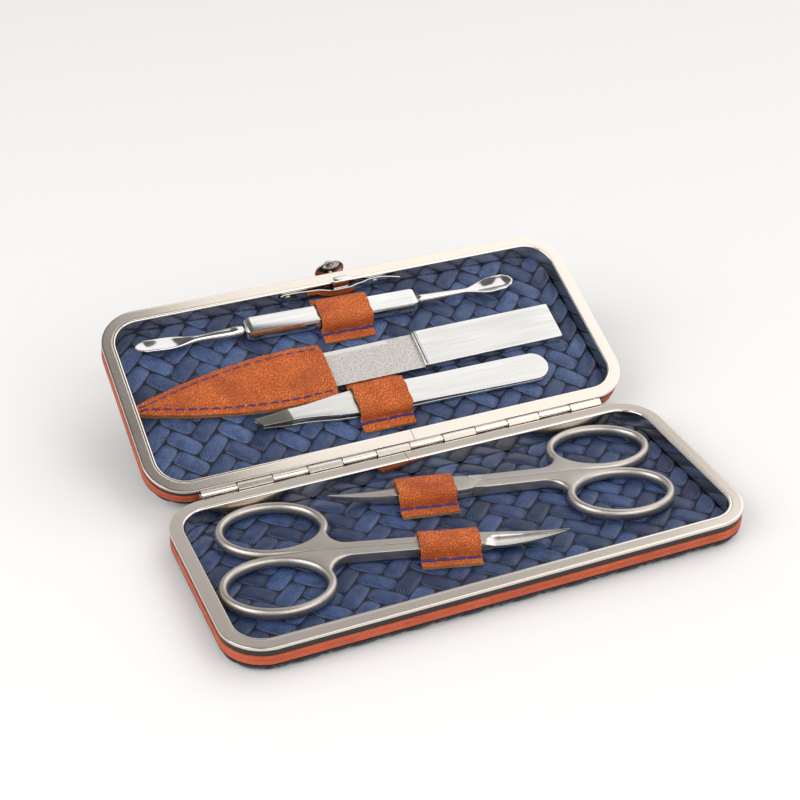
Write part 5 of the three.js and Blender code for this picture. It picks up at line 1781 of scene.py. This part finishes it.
def ring_hole(size):
    """The ring's opening: an oval that is cut off by the shank, with smoothed corners."""
    centre_x, centre_y = size["ring_distance"], size["ring_spread"]
    long, short = RING_LONG - RING_BAR, size["ring_spread"] - RING_GAP - RING_BAR
    shank_side = [(centre_x, RING_GAP + 1.0), (centre_x - RING_LONG * 0.55, RING_GAP + centre_y * 0.26)]
    bend = (size["ring_start"] + RING_LONG * 0.22, centre_y * 0.42)
    shank_side += curve(shank_side[-1], bend, ring_touch(size))[1:]
    hole = []
    for step in range(HOLE_STEPS):
        angle = 2 * math.pi * step / HOLE_STEPS
        reach = 1 / math.hypot(math.cos(angle) / long, math.sin(angle) / short)
        met = first_hit((centre_x, centre_y), angle, shank_side)
        if met:
            reach = min(reach, met)
        hole.append((centre_x + reach * math.cos(angle), centre_y + reach * math.sin(angle)))
    for _ in range(SMOOTHINGS):
        neighbours = zip(hole[-1:] + hole[:-1], hole, hole[1:] + hole[:1])
        hole = [tuple((a + 2 * b + c) / 4 for a, b, c in zip(*three)) for three in neighbours]
    return hole


# %% Edge radii


def edge_radius(size):
    """Sharp along the seam and the V, soft along the shank, round on the ring."""
    ring_start = size["ring_start"]

    def radius(x, y):
        on_ring = ease((x - ring_start + 5) / 6)
        if y < RING_GAP + 0.02 and x < size["ring_distance"]:
            return 0.10 + 1.0 * ease((x - size["ring_distance"] + 9) / 8)
        if x < size["point"] + 0.4:
            return 0.14
        return 0.42 + 0.70 * on_ring

    def stretch(x, y):
        return 1 + 0.36 * ease((x - ring_start + 3) / 6)
    return radius, stretch


# %% Blade of one half
BLADE_ROWS = 60
TIP_THICK, TIP_HALF = 0.42, 0.16
GROUND_FROM, GROUND_TO = 4, 8     # the ring's edges that lie in the ground hollow


def blade_section(high, edge, ridge, depth):
    """The blade's top as (share of the half width, height), from the spine over the ridge to the edge."""
    top = [(1.0, high - 0.22), (0.95, high - 0.05), (0.84, high), (ridge + 0.04, high),
           (ridge, high - 0.02 - 0.12 * min(1.0, depth * 4))]
    for share in (0.12, 0.35, 0.65):
        straight = high + (edge - high) * share
        hollow = depth * math.sin(math.pi * share ** 0.6) * (high - edge)
        top.append((ridge + (-1.0 - ridge) * share, straight - hollow))
    return top + [(-1.0, edge)]


def blade_rings(size, sign):
    """Sections of the upper half's blade from the plate's heel to the tip, spine first. The hollow, if
    there is one, starts with a rounded notch and takes up most of the blade's face."""
    rings = []
    spine = -sign
    for row in range(BLADE_ROWS + 1):
        x = -PLATE_CUT - (size["blade_length"] - PLATE_CUT) * row / BLADE_ROWS
        past = max(0.0, (HEEL_X - x) / (size["blade_length"] + HEEL_X))
        before = min(1.0, (x - HEEL_X) / (-PLATE_HEEL - HEEL_X)) if x > HEEL_X else 0.0
        side = sign * (size["blade_side"] * (1 - before) + (size["tip_side"] - size["blade_side"]) * past)
        half = size["blade"] + (size["plate"] - size["blade"]) * before
        half += (TIP_HALF - size["blade"]) * past ** 1.5
        high = PLATE_TOP + (TIP_THICK - PLATE_TOP) * past
        edge = HALF_GAP + (high - HALF_GAP) * (0.62 - 0.3 * past)
        ridge, depth = -0.35, 0.0
        if size["hollow_from"] is not None:
            opened = min(1.0, max(0.0, (size["hollow_from"] - x) / 3.4))
            ridge = -0.90 + 1.28 * math.sqrt(1 - (1 - opened) ** 2)
            depth = 0.42 * ease(opened * 1.6) * (1 - 0.4 * past)
            edge = edge + (HALF_GAP + 0.22 - edge) * ease(opened * 1.3) * 0.85
        ring = [(x, side + spine * a * half, z) for a, z in blade_section(high, edge, ridge, depth)]
        ring += [(x, side + spine * a * half, HALF_GAP) for a in (-1, 0, 1)]
        rings.append(ring)
    return rings


def tip_curved(vertices, size):
    """The points, with the blade's tip curved upwards."""
    result = []
    for x, y, z in vertices:
        past = max(0.0, HEEL_X - x) / (size["blade_length"] + HEEL_X)
        result.append((x, y, z + size["tip_rise"] * past * past))
    return result


# %% Plate of one half, bored for the screw
SCREW_RADIUS, SCREW_FIT = 1.2, 0.08


def plate_of_half(size):
    """The plate round the pivot, from the blade's heel to the V where the shanks meet."""
    plate, shank, end = size["plate"], size["shank"], size["plate_end"]
    shoulder, point = size["shoulder"], size["point"]
    outline = [(-PLATE_CUT, -plate + 0.04), (-PLATE_HEEL, -plate), (end, -plate),
               (shoulder - 0.08, -shank - RING_GAP), (point - 0.08, RING_GAP), (point + 1.5, RING_GAP),
               (shoulder + 0.4, shank * 0.96), (end, plate), (-PLATE_HEEL, plate), (-PLATE_CUT, plate - 0.04)]
    bore = arc((0, 0), SCREW_RADIUS + SCREW_FIT, 0, 360, 36)[:-1]
    return rounded_plate(resampled(outline, 1.5), bore, HALF_GAP, PLATE_TOP, 0.14, 3, radius_low=0.03)


# %% A whole half


def scissors_half(size, is_upper):
    """Points, faces and material numbers of one half; the lower one is the upper one turned over."""
    radius, stretch = edge_radius(size)
    shank = rounded_plate(outer_run(size), ring_hole(size), -THICK, THICK, radius, 6, stretch=stretch)
    plate = plate_of_half(size)
    rings = blade_rings(size, 1 if is_upper else -1)
    vertices, faces = joined(shank, plate, loft(rings))
    slots = []
    for face in shank[1]:
        x, y = (sum(shank[0][index][axis] for index in face) / len(face) for axis in (0, 1))
        slots.append(1 if x < size["point"] + 0.25 and y < size["shank"] * 0.93 else 0)
    slots += [0] * len(plate[1])
    for ring in rings[:-1]:
        is_hollow = size["hollow_from"] is not None and ring[0][0] < size["hollow_from"] + 0.2
        slots += [1 if is_hollow and GROUND_FROM <= column < GROUND_TO else 0 for column in range(len(ring))]
    slots += [0, 0]
    if not is_upper:
        vertices = [(x, -y, -z) for x, y, z in vertices]
    return tip_curved(vertices, size), faces, slots


# %% Pivot screw
SCREW_HEAD_RADIUS, SCREW_ANGLE = 1.9, 24
SLOT_WIDTH, SLOT_DEPTH = 0.5, 0.2


def pivot_screw():
    """A shaft riveted flush below, and a low head in two halves beside its slot."""
    low, high = THICK - 0.05, THICK + SCREW_HEAD
    slot_floor = high - SLOT_DEPTH
    shaft = rod(0.06 - THICK, slot_floor - 0.02, SCREW_RADIUS, 36, axis=2)
    disc = rounded_plate(arc((0, 0), SCREW_HEAD_RADIUS, 0, 360, 48)[:-1], None, low, slot_floor, 0.04, 2)
    meshes = [shaft, disc]
    slot_angle = math.degrees(math.asin(SLOT_WIDTH / 2 / SCREW_HEAD_RADIUS))
    for start in (slot_angle, 180 + slot_angle):
        run = resampled(arc((0, 0), SCREW_HEAD_RADIUS, start, start + 180 - 2 * slot_angle, 26), 0.3)
        meshes.append(rounded_plate(run, None, slot_floor - 0.02, high, 0.09, 3, radius_low=0.0))
    vertices, faces = joined(*meshes)
    turn = turn_z(math.radians(SCREW_ANGLE))
    return [tuple(turn @ Vector(v)) for v in vertices], faces


# %% Both pairs; a pair's screw sits on the half that carries the other one
pairs = (("nail", nail, nail_frame @ shift(0, 0, TOOL_FLOOR + THICK) @ turn_z(math.pi), "lower"),
         ("cuticle", cuticle, cuticle_frame @ shift(0, 0, TOOL_FLOOR + THICK), "upper"))
for word, size, place, turning_half in pairs:
    for half in ("upper", "lower"):
        body = f"{word}_scissors" + ("_turning_half" if half == turning_half else "")
        vertices, faces, slots = scissors_half(size, half == "upper")
        add_piece(f"{word}_{half}_half", body, f"{word}_scissors_{half}_half", "scissors_steel", vertices,
                  faces, place, [blasted_steel, ground_steel], slots, 30)
    add_piece(f"{word}_pivot_screw", f"{word}_scissors", f"{word}_scissors_screw", "scissors_steel",
              *pivot_screw(), place, [ground_steel])
    print(word, "scissors: the", turning_half, "half turns")

# %% [markdown]
# ## Floor, light and camera
# The photograph is a studio shot on a pale sweep. The tones of the satin steel show what it
# mirrors: a bright sweep low behind the case, a darker room over it, and one large soft light
# above on the right, which whitens the raised tray but not its left side. The surrounding
# follows that, and the soft boxes add the highlights and the direction of the shadows.

# %% Floor
FLOOR_RADIUS = 1.5
floor_material = plain_material("pale_sweep", (0.90, 0.885, 0.87), 0.9)
bpy.ops.mesh.primitive_circle_add(vertices=128, radius=FLOOR_RADIUS, fill_type="NGON")
floor = bpy.context.active_object
floor.name = "floor"
floor.data.materials.append(floor_material)
print("floor of", 2 * FLOOR_RADIUS, "m across")

# %% Lights
CASE_MIDDLE = (0, 0.02, 0.015)


def soft_light(name, place, width, depth, brightness):
    """A rectangular area light that points at the case. Brightness 1 looks as bright as white paper."""
    data = bpy.data.lights.new(name, "AREA")
    data.shape, data.size, data.size_y = "RECTANGLE", width, depth
    data.energy = brightness * math.pi * width * depth
    light = bpy.data.objects.new(name, data)
    bpy.context.collection.objects.link(light)
    light.location = place
    light.rotation_euler = (Vector(CASE_MIDDLE) - Vector(place)).to_track_quat("-Z", "Y").to_euler()
    print(name, round(data.energy, 2), "W")


soft_light("overhead_softbox", (0.97, 0.27, 1.26), 1.64, 1.50, 1.22)
soft_light("left_softbox", (-1.0, -0.25, 0.8), 1.2, 1.0, 2.5)
soft_light("front_fill", (0.30, -1.0, 0.85), 1.4, 1.0, 1.8)

# %% World seen by reflections and, plain, by the camera
ROOM_BY_HEIGHT = [(0.0, 0.86), (0.45, 0.86), (0.58, 0.62), (0.70, 0.42), (1.0, 0.16)]
ROOM_LEFT, ROOM_RIGHT = 0.80, 1.20
ROOM_NEAR, ROOM_FAR = 0.60, 1.05
SEEN_BEHIND = 0.93
world = bpy.data.worlds.new("studio")
bpy.context.scene.world = world
world.use_nodes = True
world.node_tree.nodes.clear()
sky = Nodes(world.node_tree)
split = sky.set(sky.add("SeparateXYZ"), Vector=sky.add("TexCoord").outputs["Generated"])
ramp = sky.add("ValToRGB")
while len(ramp.color_ramp.elements) < len(ROOM_BY_HEIGHT):
    ramp.color_ramp.elements.new(0.5)
for element, (height, brightness) in zip(ramp.color_ramp.elements, ROOM_BY_HEIGHT):
    element.position, element.color = height, (brightness, brightness, brightness, 1)
sky.put(ramp.inputs[0], split.outputs["Z"])
left_to_right = sky.span(split.outputs["X"], -1, 1, ROOM_LEFT, ROOM_RIGHT)
near_to_far = sky.span(split.outputs["Y"], -1, 1, ROOM_NEAR, ROOM_FAR)
sides = sky.math("MULTIPLY", left_to_right, near_to_far)
room = sky.set(sky.add("Background"), Color=ramp.outputs[0], Strength=sides)
seen = sky.set(sky.add("Background"), Color=(SEEN_BEHIND, SEEN_BEHIND * 0.99, SEEN_BEHIND * 0.975))
mix = sky.add("MixShader")
from_camera = sky.add("LightPath").outputs["Is Camera Ray"]
for socket, source in zip(mix.inputs, (from_camera, room.outputs[0], seen.outputs[0])):
    sky.put(socket, source)
sky.put(sky.add("OutputWorld").inputs[0], mix.outputs[0])
print("world nodes:", len(sky.tree.nodes))

# %% Camera
camera_place = (-0.1436, -0.2933, 0.2492)
camera_aim = (0.0070, 0.0552, 0.0080)
camera_roll = math.radians(0.38)
camera_data = bpy.data.cameras.new("camera")
camera_data.lens = 71.05
camera_data.sensor_width = 36
camera = bpy.data.objects.new("camera", camera_data)
bpy.context.collection.objects.link(camera)
turn = (Vector(camera_aim) - Vector(camera_place)).to_track_quat("-Z", "Y")
roll = Matrix.Rotation(camera_roll, 4, "Z")
camera.matrix_world = Matrix.Translation(camera_place) @ turn.to_matrix().to_4x4() @ roll
bpy.context.scene.camera = camera
bpy.context.scene.view_settings.view_transform = "Standard"
print("camera is", round((Vector(camera_aim) - Vector(camera_place)).length, 3), "m from what it looks at")
